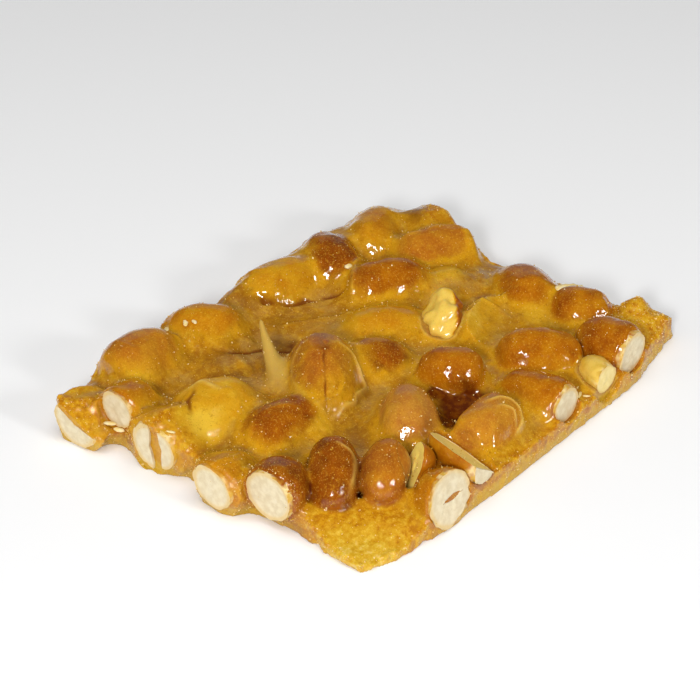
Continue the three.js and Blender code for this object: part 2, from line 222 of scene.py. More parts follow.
# Small chips of peanut: place, with height 0 for one laid on top, (length, width) in mm, and heading.
CHIPS = [
    ((-16.4, 29.5, 0.0), (2.6, 0.9), 45),
    ((-15.5, 28.3, 0.0), (1.9, 0.7), 65),
    ((16.6, 20.2, 0.0), (1.7, 1.3), 10),
    ((15.0, -32.2, 0.0), (2.0, 0.6), 20),
    ((15.9, -32.9, 0.0), (1.7, 0.5), -50),
    ((-41.6, 23.0, 4.2), (2.4, 0.9), -60),
    ((-41.7, 20.8, 4.0), (2.2, 1.0), -75),
    ((-40.9, 9.5, 0.0), (1.8, 0.5), -70),
    ((36.8, -14.6, 7.9), (6.0, 2.8), -48),
    ((-18.4, 32.2, 0.0), (1.6, 0.9), 30),
]

THIN_CORNER = (-40.6, -30.4)
KNOB = (41.0, -26.5)

CHIP_RINGS = 7
CHIP_SEGMENTS = 12
SMALL_CRUMB = (0.05, 0.11)  # least and most radius, in mm
LARGE_CRUMB = (0.11, 0.22)
SMALL_SHARE = 0.85

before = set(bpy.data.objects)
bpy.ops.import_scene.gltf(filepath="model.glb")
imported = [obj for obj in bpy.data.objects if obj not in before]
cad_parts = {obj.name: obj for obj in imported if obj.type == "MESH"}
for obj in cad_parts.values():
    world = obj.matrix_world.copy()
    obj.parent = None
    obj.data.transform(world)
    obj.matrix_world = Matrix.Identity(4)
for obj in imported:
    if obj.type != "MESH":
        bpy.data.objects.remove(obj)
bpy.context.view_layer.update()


# ---------------------------------------------------------------- numbers


def smoothstep(value, low, high):
    t = np.clip((value - low) / (high - low), 0.0, 1.0)
    return t * t * (3.0 - 2.0 * t)


def soft_min(a, b, reach):
    h = np.maximum(reach - np.abs(a - b), 0.0) / reach
    return np.minimum(a, b) - h * h * reach * 0.25


def soft_max(a, b, reach):
    return -soft_min(-a, -b, reach)


def lattice(ix, iy, iz, seed):
    """A repeatable draw from -1 to 1 for each whole-number place."""
    mix = ix * 374761393 + iy * 668265263 + iz * 1274126177 + seed * 974711
    mix = (mix ^ (mix >> 13)) * 1103515245 & 0x7FFFFFFF
    mix = (mix ^ (mix >> 16)) & 0xFFFF
    return mix / 32767.5 - 1.0


def noise(points, scale, seed=SEED):
    """Smooth value noise from -1 to 1 at points in mm."""
    q = np.asarray(points, float) / scale
    base = np.floor(q).astype(np.int64)
    f = q - base
    f = f * f * (3.0 - 2.0 * f)
    total = np.zeros(len(q))
    for dx in (0, 1):
        for dy in (0, 1):
            for dz in (0, 1):
                weight = np.abs(1 - dx - f[:, 0]) * np.abs(1 - dy - f[:, 1]) * np.abs(1 - dz - f[:, 2])
                total += weight * lattice(base[:, 0] + dx, base[:, 1] + dy, base[:, 2] + dz, seed)
    return total


def blur(image, sigma):
    """Gaussian blur of a 2-D array, sigma in cells, with its edges repeated."""
    reach = max(1, int(3 * sigma + 0.5))
    weights = np.exp(-0.5 * (np.arange(-reach, reach + 1) / sigma) ** 2)
    weights /= weights.sum()
    for axis in (0, 1):
        pad = [(reach, reach) if k == axis else (0, 0) for k in (0, 1)]
        padded = np.pad(image, pad, mode="edge")
        count = image.shape[axis]
        image = sum(w * np.take(padded, range(k, k + count), axis) for k, w in enumerate(weights))
    return image


# ---------------------------------------------------------------- the kernels' form


def turn_matrix(row):
    heading, pitch, roll = (math.radians(angle) for angle in row["turn"])
    turns = ((heading, "Z"), (-pitch, "Y"), (roll, "X"))
    about_z, about_y, about_x = (Matrix.Rotation(angle, 3, axis) for angle, axis in turns)
    return np.array(about_z @ about_y @ about_x)


def to_kernel(points, row):
    return (points - row["place"]) @ turn_matrix(row)


def from_kernel(points, row):
    return points @ turn_matrix(row).T + row["place"]


def half_sizes(row):
    length, width = row["size"]
    return np.array([length / 2, width / 2, width * FLATNESS / 2])


def shell_distance(local, row):
    """Roughly how far points in the kernel's own frame lie outside its whole form, in mm."""
    half = half_sizes(row)
    girth = 1.0 - TAPER * np.clip(local[..., 0] / half[0], -1.1, 1.1)
    scale = np.stack([np.full_like(girth, half[0]), half[1] * girth, half[2] * girth], axis=-1)
    unit = local / scale
    off_axis = np.hypot(unit[..., 1], unit[..., 2])
    r = (np.abs(unit[..., 0]) ** BLUNTNESS + off_axis**BLUNTNESS) ** (1 / BLUNTNESS)
    return r * (r - 1.0) / np.maximum(np.linalg.norm(unit / scale, axis=-1), 1e-6)


def lumps(local, row):
    """The kernel's unevenness at points in its own frame, outward in mm."""
    broad = 0.26 * noise(local + 31 * row["number"], 4.6, 41)
    return broad + 0.10 * noise(local + 17 * row["number"], 2.0, 42)


def skin_patches(points):
    """How much darker or paler the skin is at points in the frame in mm."""
    return 0.10 * noise(points, 3.6, 71) + 0.07 * noise(points, 1.5, 72)


def crown_height(row):
    """How high the nut's whole form reaches, in mm."""
    up = turn_matrix(row)[2]
    return row["place"][2] + np.linalg.norm(up * half_sizes(row))


def film_gap(points, local, row):
    """The film's surface on a nut: its distance, which is less than 0 inside the film, in mm."""
    crown, _, growth = row["film"]
    depth = crown_height(row) - points[..., 2]
    film = np.clip(crown + growth * depth, crown, FILM_MOST)
    if row["saw"]:
        from_cut = 0.4 * noise(points, 1.5, 64) - saw_distance(points, row)
        film = film - (film + 0.3) * (1.0 - smoothstep(from_cut, 0.4, row["bare"] + 0.4))
    return shell_distance(local, row) - lumps(local, row) - film


def smooth_line(places):
    """A round line through places in the plan, as closely set points in mm."""
    knots = np.array(places) + SHIFT[:2]
    knots = np.vstack([2 * knots[0] - knots[1], knots, 2 * knots[-1] - knots[-2]])
    t = np.linspace(0.0, 1.0, 8, endpoint=False)[:, None]
    parts = []
    for a, b, c, d in zip(knots, knots[1:], knots[2:], knots[3:]):
        bend = 2 * a - 5 * b + 4 * c - d
        twist = 3 * (b - c) + d - a
        parts.append(0.5 * (2 * b + (c - a) * t + bend * t**2 + twist * t**3))
    return np.vstack([*parts, knots[-2]])


def line_distance(xy, places):
    """How far plan places in mm lie from a round line that wanders a little."""
    flat = np.column_stack([xy, np.zeros(len(xy))])
    xy = xy + 0.35 * np.column_stack([noise(flat, 1.8, 61), noise(flat, 1.8, 62)])
    line = smooth_line(places)
    nearest = np.full(len(xy), 1e9)
    for a, b in zip(line, line[1:]):
        t = np.clip(((xy - a) @ (b - a)) / ((b - a) @ (b - a)), 0.0, 1.0)
        nearest = np.minimum(nearest, np.hypot(*(xy - a - t[:, None] * (b - a)).T))
    return nearest


def line_shares(xy):
    """How strongly each line shows at plan places in mm, from 0 to 1, fading toward its ends."""
    flat = np.column_stack([xy, np.full(len(xy), 5.0)])
    fade = np.clip(0.75 + 0.6 * noise(flat, 2.4, 63), 0.15, 1.0)
    shares = []
    for _, width, _, places in LINES:
        ends = [np.hypot(*(xy - np.array(end) - SHIFT[:2]).T) for end in (places[0], places[-1])]
        tail = smoothstep(np.minimum(*ends), 0.0, 1.6)
        shares.append(fade * (0.3 + 0.7 * tail) * np.exp(-((line_distance(xy, places) / width) ** 2)))
    return shares


def saw_plane(row):
    """A point on the nut's sawn face and the way it faces, in the frame in mm."""
    axis, outward = SAWN_SIDES[row["saw"]]
    normal = np.zeros(3)
    normal[axis] = outward * math.cos(math.radians(row["lean"]))
    normal[2] = math.sin(math.radians(row["lean"]))
    point = row["place"].copy()
    point[axis] = row["at"] + SHIFT[axis]
    point[2] = 0.0
    return point, normal


def saw_distance(points, row):
    point, normal = saw_plane(row)
    return (points - point) @ normal


# ---------------------------------------------------------------- the caramel's form


def outline():
    """The slab's outline on the floor, in order, in mm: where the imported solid's walls stand on it."""
    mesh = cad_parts["caramel_slab"].data
    co = np.array([v.co for v in mesh.vertices]) / MM
    low = {i for i in range(len(co)) if co[i, 2] < ON_FLOOR}
    feet = set()
    for polygon in mesh.polygons:
        on_floor = [i for i in polygon.vertices if i in low]
        if 0 < len(on_floor) < len(polygon.vertices):
            feet.update((round(co[i, 0], 2), round(co[i, 1], 2)) for i in on_floor)
    points = np.array(sorted(feet, key=lambda p: math.atan2(p[1], p[0])))
    far = np.hypot(points[:, 0] / HALF_LENGTH, points[:, 1] / HALF_WIDTH)
    return points[far > 0.8]


def inward_distance(xy, points):
    """How far plan places lie in from the outline, less than 0 outside it, in mm."""
    nearest = np.full(len(xy), 1e9)
    crossings = np.zeros(len(xy), int)
    for a, b in zip(points, np.roll(points, -1, axis=0)):
        edge = b - a
        t = np.clip(((xy - a) @ edge) / (edge @ edge), 0.0, 1.0)
        nearest = np.minimum(nearest, np.hypot(*(xy - a - t[:, None] * edge).T))
        spans = (a[1] > xy[:, 1]) != (b[1] > xy[:, 1])
        with np.errstate(divide="ignore", invalid="ignore"):
            cross_x = a[0] + (xy[:, 1] - a[1]) * edge[0] / edge[1]
        crossings += spans & (xy[:, 0] < cross_x)
    return np.where(crossings % 2 == 1, nearest, -nearest)


def bezier(points, t):
    a, b, c = (np.array(p) + SHIFT for p in points)
    t = np.asarray(t)[:, None]
    return a * (1 - t) ** 2 + 2 * b * t * (1 - t) + c * t * t


def horn_distance(points):
    steps = np.linspace(0.0, 1.0, 40)
    radius = HORN_RADIUS[1] + (HORN_RADIUS[0] - HORN_RADIUS[1]) * (1.0 - steps) ** 1.4
    nearest = np.full(points.shape[:-1], 1e9)
    for centre, r in zip(bezier(HORN, steps), radius):
        nearest = np.minimum(nearest, np.linalg.norm(points - centre, axis=-1) - r)
    return nearest


class Grid:
    """A block of cells round the slab, with its distance field in mm."""

    def __init__(self):
        low, high = (np.array(corner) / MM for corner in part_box("caramel_slab"))
        self.low = low - 3 * CELL
        self.count = np.ceil((high - low) / CELL).astype(int) + 7
        self.axes = [self.low[k] + CELL * np.arange(self.count[k]) for k in range(3)]
        self.field = None

    def plan(self):
        x, y = np.meshgrid(self.axes[0], self.axes[1], indexing="ij")
        return np.stack([x.ravel(), y.ravel()], axis=1)

    def block(self, low, high):
        """The slices and points of the cells between two corners."""
        first = np.clip(np.floor((low - self.low) / CELL).astype(int), 0, self.count)
        last = np.clip(np.ceil((high - self.low) / CELL).astype(int) + 1, 0, self.count)
        cut = tuple(slice(a, b) for a, b in zip(first, last))
        axes = [axis[part] for axis, part in zip(self.axes, cut)]
        return cut, np.stack(np.meshgrid(*axes, indexing="ij"), axis=-1)

    def sample(self, points):
        """The field at any points, by trilinear interpolation."""
        q = np.clip((points - self.low) / CELL, 0, np.array(self.count) - 1.001)
        base = q.astype(int)
        f = q - base
        total = np.zeros(len(q))
        for corner in np.ndindex(2, 2, 2):
            weight = np.prod(np.abs(1 - np.array(corner) - f), axis=1)
            total += weight * self.field[tuple((base + corner).T)]
        return total


def cast_heights(grid, inward):
    """The slab's top under each plan cell, with nuts and horn filled over smoothly."""
    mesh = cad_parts["caramel_slab"].data
    tree = BVHTree.FromPolygons([v.co for v in mesh.vertices], [p.vertices for p in mesh.polygons])
    xy = grid.plan()
    down = Vector((0, 0, -1))
    heights = np.zeros(len(xy))
    known = inward > 0.9
    for k in np.nonzero(known)[0]:
        hit = tree.ray_cast(Vector((xy[k, 0] * MM, xy[k, 1] * MM, ABOVE_ALL)), down)[0]
        heights[k] = hit.z / MM if hit else 0.0
    level = np.column_stack([xy, np.full(len(xy), 5.0)])
    for row in NUTS:
        near = np.abs(xy - row["place"][:2]).max(axis=1) < 11
        known[near] &= plan_gap(level[near], row) > 0.7
    steps = bezier(HORN, np.linspace(0.0, 1.0, 20))
    for centre in steps:
        known &= np.hypot(*(xy - centre[:2]).T) > 2.4
    shape = tuple(grid.count[:2])
    return fill_over(heights.reshape(shape), known.reshape(shape))


def plan_gap(points, row):
    """How far plan places lie outside a nut's shadow, in mm."""
    around = turn_matrix(row)
    half = half_sizes(row)
    spread = around[:2] @ np.diag(half**2) @ around[:2].T
    offset = points[:, :2] - row["place"][:2]
    r = np.sqrt(np.einsum("ij,jk,ik->i", offset, np.linalg.inv(spread), offset))
    return (r - 1.0) * half[1]


def fill_over(heights, known):
    """Spreads the known heights over the unknown cells, nearest first, then smooths the facets."""
    filled = np.where(known, heights, 0.0)
    weight = known.astype(float)
    result, done = filled.copy(), known.copy()
    for sigma in (0.8, 1.6, 3.2, 6.4, 12.8):
        share = blur(weight, sigma / CELL)
        spread = blur(filled, sigma / CELL) / np.maximum(share, 1e-9)
        fresh = ~done & (share > 0.04)
        result[fresh] = spread[fresh]
        done |= fresh
    smooth = blur(result, 0.7 / CELL)
    return np.where(known, smooth, blur(smooth, 0.9 / CELL))


def slab_field(grid, inward, heights):
    """Distance from the bare slab: its top, leaning walls and underside."""
    z = grid.axes[2][None, None, :]
    shape = heights.shape
    valley = VALLEY * smoothstep(inward.reshape(shape), 1.0, 5.0)
    plan = grid.plan() - SHIFT[:2]
    for place, radius, depth in DIPS:
        valley += (depth * np.exp(-((np.hypot(*(plan - place).T) / radius) ** 2))).reshape(shape)
    heights = heights - valley * smoothstep(heights, 3.0, 5.0)
    wall = -inward.reshape(shape)[:, :, None] + WALL_LEAN * z
    top = z - heights[:, :, None]
    body = soft_max(top, wall, WALL_ROUNDING)
    return np.maximum(body, -z)


def film_ripple(points, row):
    """The film's waves, with sharp folds where it is thick."""
    thick = min(max(row["film"][0], 0.0) * 4.0, 1.0)
    folds = np.maximum(0.0, 1.0 - 5.0 * np.abs(noise(points, 5.5, 13)))
    return 0.05 * noise(points, 2.6, 11) + thick * (0.12 * noise(points, 3.4, 12) + 0.2 * folds)


def wrap_nuts(grid):
    """Runs the caramel up round each nut and over the coated ones."""
    for row in NUTS:
        crown, blend, _ = row["film"]
        reach = row["size"][0] / 2 + 4.5
        cut, points = grid.block(row["place"] - reach, row["place"] + reach)
        film = shell_distance(to_kernel(points, row), row)
        near = np.abs(film) < 5.0
        film[~near] = FAR_OFF * np.sign(film[~near])
        points = points[near]
        local = to_kernel(points, row)
        coat = film_gap(points, local, row) - film_ripple(points, row)
        if row["saw"]:
            coat = np.maximum(coat, saw_distance(points, row) + 0.1)
        if row["split"]:
            coat = np.maximum(coat, local[:, 2] + (0.08 if crown < 0 else -crown - 0.1))
        film[near] = coat
        grid.field[cut] = soft_min(grid.field[cut], film, blend)


def add_horn(grid):
    reach = np.array([14.0, 14.0, 9.0])
    cut, points = grid.block(bezier(HORN, [0.5])[0] - reach, bezier(HORN, [0.5])[0] + reach)
    grid.field[cut] = soft_min(grid.field[cut], horn_distance(points), 2.6)


def add_lines(grid):
    """Raises the folds and sinks the slits in the caramel's upper side."""
    relief = sum(line[0] * share for line, share in zip(LINES, line_shares(grid.plan())))
    relief = relief.reshape(grid.count[:2])[:, :, None]
    upper = smoothstep(grid.axes[2], 2.5, 4.0)[None, None, :]
    grid.field -= relief * upper * (np.abs(grid.field) < 2.5)


def clear_face(grid, row):
    """Takes the caramel away from in front of a nut's sawn or open face."""
    reach = row["size"][0] / 2 + 2.0
    cut, points = grid.block(row["place"] - reach, row["place"] + reach)
    local = to_kernel(points, row)
    lost = np.full(points.shape[:-1], -FAR_OFF)
    if row["saw"]:
        lost = np.maximum(lost, saw_distance(points, row))
    if row["open"]:
        lost = np.maximum(lost, local[..., 2])
    shell = shell_distance(local, row)
    sunk = 0.9 if row["open"] else 0.15
    room = np.maximum(shell + 0.12, -lost - sunk)
    beyond = np.maximum(shell - row["cleared"], -lost + 0.05)
    grid.field[cut] = soft_max(grid.field[cut], -np.minimum(room, beyond), 0.3)


def clear_faces(grid):
    for row in NUTS:
        if row["saw"] or row["open"]:
            clear_face(grid, row)


def roughen(grid, inward):
    """Breaks up the caramel's walls, thin corner and knob, and lets its top roll a little."""
    near = np.abs(grid.field) < 1.6
    index = np.nonzero(near)
    points = np.column_stack([grid.axes[k][index[k]] for k in range(3)])
    edge = inward.reshape(grid.count[:2])[index[0], index[1]]
    plan = points[:, :2] - SHIFT[:2]
    corner = smoothstep(-np.hypot(*(plan - THIN_CORNER).T), -16.0, -9.0)
    knob = smoothstep(-np.hypot(*(plan - KNOB).T), -7.0, -4.0)
    wall = smoothstep(-edge, -1.6, -0.2)
    broken = np.minimum(0.1 + 0.8 * wall + 0.2 * corner + 1.0 * wall * corner + knob, 1.6)
    relief = 0.16 * noise(points, 5.0, 21) + 0.10 * noise(points, 2.6, 27)
    relief += broken * (0.20 * noise(points, 1.7, 22) + 0.12 * noise(points, 0.85, 23))
    relief += (0.3 * corner + 1.5 * knob) * 0.5 * noise(points, 2.4, 24)
    relief += broken * 0.6 * np.maximum(0.0, noise(points, 1.1, 25) - 0.45)
    relief *= smoothstep(points[:, 2], -0.1, 0.5)
    grid.field[index] += relief


def surface_net(field, low):
    """The field's zero surface as points in mm and quads that face out."""
    inside = field < 0
    corners = list(np.ndindex(2, 2, 2))
    count = np.zeros([n - 1 for n in field.shape], np.int8)
    for c in corners:
        count += inside[tuple(slice(o, o + n - 1) for o, n in zip(c, field.shape))]
    cells = np.nonzero((count > 0) & (count < 8))
    number = np.full([n - 1 for n in field.shape], -1, np.int64)
    number[cells] = np.arange(len(cells[0]))
    values = np.stack([field[tuple(cells[k] + c[k] for k in range(3))] for c in corners], axis=1)
    total = np.zeros((len(cells[0]), 3))
    hits = np.zeros(len(cells[0]))
    for i, a in enumerate(corners):
        for j, b in enumerate(corners):
            if j > i and sum(abs(p - q) for p, q in zip(a, b)) == 1:
                crosses = (values[:, i] < 0) != (values[:, j] < 0)
                drop = np.where(crosses, values[:, i] - values[:, j], 1.0)
                t = np.where(crosses, values[:, i] / drop, 0.0)
                at = np.array(a) + t[:, None] * (np.array(b) - np.array(a))
                total += np.where(crosses[:, None], at, 0.0)
                hits += crosses
    points = low + CELL * (np.column_stack(cells) + total / hits[:, None])
    return points, net_quads(inside, number)


def net_quads(inside, number):
    """A quad across each grid edge that the surface cuts, from the numbers of the cells round it."""
    quads = []
    for axis in range(3):
        u, v = (axis + 1) % 3, (axis + 2) % 3
        ahead = [slice(1, n - 1) for n in inside.shape]
        ahead[axis] = slice(0, inside.shape[axis] - 1)
        beyond = list(ahead)
        beyond[axis] = slice(1, inside.shape[axis])
        here, there = inside[tuple(ahead)], inside[tuple(beyond)]
        for flips, step in ((here & ~there, -1), (~here & there, 1)):
            at = np.column_stack(np.nonzero(flips))
            at[:, u] += 1
            at[:, v] += 1
            ring = []
            for du, dv in ((1, 0), (0, 0), (0, 1), (1, 1)):
                cell = at.copy()
                cell[:, u] -= 1 - du
                cell[:, v] -= 1 - dv
                ring.append(number[tuple(cell.T)])
            quads.append(np.column_stack(ring[::step]))
    return np.concatenate(quads)


# ---------------------------------------------------------------- meshes


def mesh_object(name, points, faces, materials):
    """An object from points in mm and faces given as lists or one array."""
    mesh = bpy.data.meshes.new(name)
    mesh.from_pydata((points * MM).tolist(), [], faces if isinstance(faces, list) else faces.tolist())
    for material in materials:
        mesh.materials.append(material)
    mesh.validate()
    mesh.polygons.foreach_set("use_smooth", [True] * len(mesh.polygons))
    obj = bpy.data.objects.new(name, mesh)
    bpy.context.scene.collection.objects.link(obj)
    return obj


def put_attributes(obj, **named):
    """Gives each vertex its number or vector under each name, for the materials to read."""
    for name, values in named.items():
        kind, field = ("FLOAT_VECTOR", "vector") if np.ndim(values) == 2 else ("FLOAT", "value")
        attribute = obj.data.attributes.new(name, kind, "POINT")
        attribute.data.foreach_set(field, np.ravel(values).astype(np.float32))


def nearest_nut(points):
    """The gap from each point to the nearest nut in mm, that nut's tone and its veil of dust and painted
    sheen, and 1 if it is bare.
    """
    gap = np.full(len(points), FAR_OFF)
    tone = np.full(len(points), 0.4)
    haze = np.zeros(len(points))
    bare = np.zeros(len(points))
    for row in NUTS:
        reach = row["size"][0] / 2 + 3.0
        close = np.nonzero(np.abs(points - row["place"]).max(axis=1) < reach)[0]
        local = to_kernel(points[close], row)
        distance = shell_distance(local, row)
        if row["saw"]:
            distance = np.maximum(distance, saw_distance(points[close], row))
        if row["split"]:
            distance = np.maximum(distance, local[:, 2])
        nearer = distance < gap[close]
        gap[close[nearer]] = distance[nearer]
        tone[close[nearer]] = row["tone"]
        haze[close[nearer]] = row["haze"]
        bare[close[nearer]] = row["film"][0] < 0
    return gap, tone, haze, bare


def without_floor(points, quads, inward_at):
    """Leaves out the underside's inner quads, which one flat face then spans."""
    inner = (points[:, 2] < 0.5 * CELL) & (inward_at > 2.0)
    keep = ~inner[quads].all(axis=1)
    kept = quads[keep]
    used = np.unique(kept)
    renumber = np.full(len(points), -1)
    renumber[used] = np.arange(len(used))
    return points[used], renumber[kept], used


def close_floor(obj):
    """Fills the hole left in the underside."""
    bm = bmesh.new()
    bm.from_mesh(obj.data)
    edges = [e for e in bm.edges if e.is_boundary]
    made = bmesh.ops.holes_fill(bm, edges=edges, sides=0)["faces"]
    bmesh.ops.triangulate(bm, faces=made)
    bm.to_mesh(obj.data)
    bm.free()


def thin_out(obj, most):
    """Drops triangles where the surface is smooth, down to about this many."""
    modifier = obj.modifiers.new("thin", "DECIMATE")
    modifier.ratio = most / sum(len(p.vertices) - 2 for p in obj.data.polygons)
    thinned = bpy.data.meshes.new_from_object(obj.evaluated_get(bpy.context.evaluated_depsgraph_get()))
    obj.modifiers.clear()
    obj.data = thinned


def spot(plan, place, radius):
    """1 at a place in the plan, falling to 0 at this radius."""
    return np.clip(1.0 - (np.hypot(*(plan - place).T) / radius) ** 2, 0, 1) ** 2


def caramel_piece(grid, inward, heights, material):
    points, quads = surface_net(grid.field, grid.low)
    columns = ((points[:, :2] - grid.low[:2]) / CELL + 0.5).astype(int)
    inward_at = inward.reshape(heights.shape)[columns[:, 0], columns[:, 1]]
    points, quads, used = without_floor(points, quads, inward_at)
    columns, inward_at = columns[used], inward_at[used]
    points[:, 2] = np.maximum(points[:, 2], 0.0)
    # how far each point lies below the caramel round it, which the material paints darker as deeper
    # caramel and as painted shade
    top = np.maximum(grid.axes[2][None, None, :] * (grid.field < 0), 0).max(axis=2)
    around = blur(top, 2.6 / CELL)[columns[:, 0], columns[:, 1]]
    deep = np.clip(around - points[:, 2], -4, 6)
    obj = mesh_object("caramel_mass", points, quads, [material])
    put_attributes(obj, deep=deep, inward=inward_at, **caramel_marks(points))
    close_floor(obj)
    thin_out(obj, CARAMEL_TRIANGLES)
    return obj


def caramel_marks(points):
    """What the material reads at each point of the nuts, pools with painted shade, folds, horn and
    corners near it.
    """
    gap, tone, haze, bare = nearest_nut(points)
    plan = points[:, :2] - SHIFT[:2]
    # dark pools: deep clear caramel, and painted shade in the gaps between the nuts
    pool_and_shade = sum(dark * spot(plan, place, radius) for place, radius, dark in POOLS_AND_SHADE)
    dull = np.clip(pool_and_shade, 0.0, 1.0) * smoothstep(gap, 0.05, 0.35)
    pool_and_shade *= (1.0 + 0.5 * noise(points, 1.6, 31)) * smoothstep(gap, -0.1, 0.7)
    golden = sum(share * spot(plan, place, radius) for place, radius, share in GOLDEN)
    shares = line_shares(points[:, :2])
    # painted shade in the slits: each darkens the more deeply it sinks
    slits = [share * min(-2.5 * line[0], 1.0) for line, share in zip(LINES, shares) if line[0] < 0]
    return {
        "film": gap,
        "tone": tone + skin_patches(points),
        "haze": haze,
        "bare": bare,
        "dull": dull,
        "level": points[:, 2],
        "pool_and_shade": np.clip(pool_and_shade, 0.0, 1.0),
        "golden": np.clip(golden, 0.0, 2.0),
        "knob": np.hypot(*(plan - KNOB).T),
        "horn": np.clip(horn_distance(points), -1.0, FAR_OFF),
        "corner": np.hypot(*(plan - THIN_CORNER).T),
        "fold": np.max([line[2] * share for line, share in zip(LINES, shares)], axis=0),
        "slit": np.max(slits, axis=0),
    }


def kernel_points(row):
    """The whole kernel's skin in its own frame in mm, ring by ring from blunt end to beak."""
    half = half_sizes(row)
    t = np.linspace(0.0, math.pi, RINGS + 1)[1:-1]
    around = np.linspace(0.0, 2 * math.pi, SEGMENTS, endpoint=False)
    along = -np.cos(t)
    radius = (1.0 - np.abs(along) ** BLUNTNESS) ** (1 / BLUNTNESS)
    girth = 1.0 - TAPER * along
    beak = BEAK * smoothstep(along, 0.9, 1.0)
    x = np.repeat(half[0] * (along + beak), SEGMENTS)
    y = np.outer(radius * girth, np.cos(around)).ravel() * half[1]
    z = np.outer(radius * girth, np.sin(around)).ravel() * half[2]
    ends = np.array([[-half[0], 0, 0], [half[0] * (1 + BEAK), 0, 0]])
    points = np.concatenate([np.column_stack([x, y, z]), ends])
    return relieved(points, half, row)


def relieved(points, half, row):
    """Gives the skin its lumps, a fine unevenness, the knobs of a crumbled kernel and the crease along
    its seam.
    """
    outward = points / half**2
    outward /= np.linalg.norm(outward, axis=1, keepdims=True)
    uneven = lumps(points, row) + 0.02 * noise(points + 9 * row["number"], 1.1, 46)
    uneven += row["rough"] * (1.5 * noise(points, 2.1, 44) + 0.5 * noise(points, 1.1, 45) - 0.2)
    crease = -0.08 * np.exp(-((points[:, 2] / 0.3) ** 2)) * (np.abs(points[:, 1]) > 0.8)
    return points + outward * (uneven - 0.03 + crease)[:, None]


def ring_faces(rings, around):
    """Faces between rings of points, and fans to the two end points that follow them."""
    faces = []
    for ring in range(rings - 1):
        for k in range(around):
            a, b = ring * around + k, ring * around + (k + 1) % around
            faces.append((a, b, b + around, a + around))
    first_end = rings * around
    last = (rings - 1) * around
    for k in range(around):
        n = (k + 1) % around
        faces.append((first_end, n, k))
        faces.append((first_end + 1, last + k, last + n))
    return faces


def cut_away(bm, point, normal, relief, drawn_in):
    """Cuts the kernel flat and fills the cut with rings of faces, sunk by relief, its rim drawn in."""
    geom = list(bm.verts) + list(bm.edges) + list(bm.faces)
    bmesh.ops.bisect_plane(bm, geom=geom, plane_co=point, plane_no=normal, clear_outer=True, dist=1e-5)
    loop = boundary_loop(bm)
    if not loop:
        return
    rim = np.array([v.co for v in loop])
    centre = rim.mean(axis=0)
    away = rim - centre
    away /= np.linalg.norm(away, axis=1, keepdims=True)
    ragged = 0.26 * noise(rim, 1.3, 53) + 0.15 * noise(rim, 0.5, 54) + 0.05
    rim = rim + away * (ragged - drawn_in(rim))[:, None]
    for vertex, place in zip(loop, rim):
        vertex.co = place
    rings = [loop]
    for step in range(1, CAP_RINGS):
        share = 1.0 - step / CAP_RINGS
        rings.append([bm.verts.new(centre + (p - centre) * share) for p in rim])
    hub = bm.verts.new(centre)
    for ring in rings[1:] + [[hub]]:
        sunk = relief(np.array([v.co for v in ring]))
        for vertex, depth in zip(ring, sunk):
            vertex.co -= Vector(normal) * depth
    for outer, inner in zip(rings, rings[1:]):
        for k in range(len(outer)):
            n = (k + 1) % len(outer)
            cap_face(bm, (outer[k], outer[n], inner[n], inner[k]), normal)
    for k in range(len(loop)):
        cap_face(bm, (rings[-1][k], rings[-1][(k + 1) % len(loop)], hub), normal)


def cap_face(bm, corners, normal):
    face = bm.faces.new(corners)
    face.normal_update()
    if face.normal.dot(Vector(normal)) < 0:
        face.normal_flip()
    face.material_index = 1
    face.smooth = True


def boundary_loop(bm):
    edges = {e for e in bm.edges if e.is_boundary}
    if not edges:
        return []
    start = next(iter(sorted(edges, key=lambda e: e.verts[0].co.x)))
    loop = [start.verts[0]]
    vertex, edge = start.verts[1], start
    while vertex != loop[0]:
        loop.append(vertex)
        edge = next(e for e in vertex.link_edges if e in edges and e != edge)
        vertex = edge.other_vert(vertex)
    return loop


def seam_height(points):
    """How far over the level seam of a sawn kernel points in its own frame lie, in mm."""
    return points[:, 2] + 0.25 * points[:, 1]


def sawn_relief(points, row):
    """A saw's roughness and the slit between the kernel's two halves."""
    across = points[:, 1] + 0.5
    lens = 0.36 * (1.0 - np.clip(across / 1.9, -1.0, 1.0) ** 2) + 0.12 * noise(points, 0.7, 56)
    slit = row["slit"] * smoothstep(-np.abs(seam_height(points)), -lens - 0.16, -lens + 0.1)
    slit *= smoothstep(-np.abs(across), -2.1, -1.7)
    return slit + 0.08 * noise(points, 1.4, 51) + 0.04 * noise(points, 0.6, 55)


def lobes(rim, row):
    """How far a slit kernel's rim draws in, where its two halves meet and on the lower half, in mm."""
    if not row["slit"]:
        return 0.0
    side = smoothstep(-rim[:, 1], 0.0, 2.5)
    notch = 0.9 * np.exp(-(((seam_height(rim) + 0.4) / 0.6) ** 2))
    return side * (notch + 0.8 * smoothstep(-rim[:, 2], 0.3, 2.0))


def split_relief(points, row):
    """The shallow dish of a kernel's inner face."""
    half = half_sizes(row)
    inner = (points[:, 0] / half[0]) ** 2 + (points[:, 1] / half[1]) ** 2
    groove = np.exp(-((points[:, 1] / 0.7) ** 2))
    dish = 0.45 * np.clip(1 - inner, 0, 1) * (0.5 + 0.8 * groove)
    uneven = 0.08 * noise(points, 0.9, 52) + 0.14 * noise(points, 2.6, 57)
    return dish * (0.3 if row["open"] else 1.0) + uneven


def red_side(world, row):
    """How much darker the side of a crumbled kernel is that still has its skin."""
    if not row["rough"]:
        return 0.0
    across = (world - row["place"]) @ SKINNED_SIDE + 0.5 * noise(world, 1.2, 47)
    return 0.8 * smoothstep(across, 1.7, 2.3)


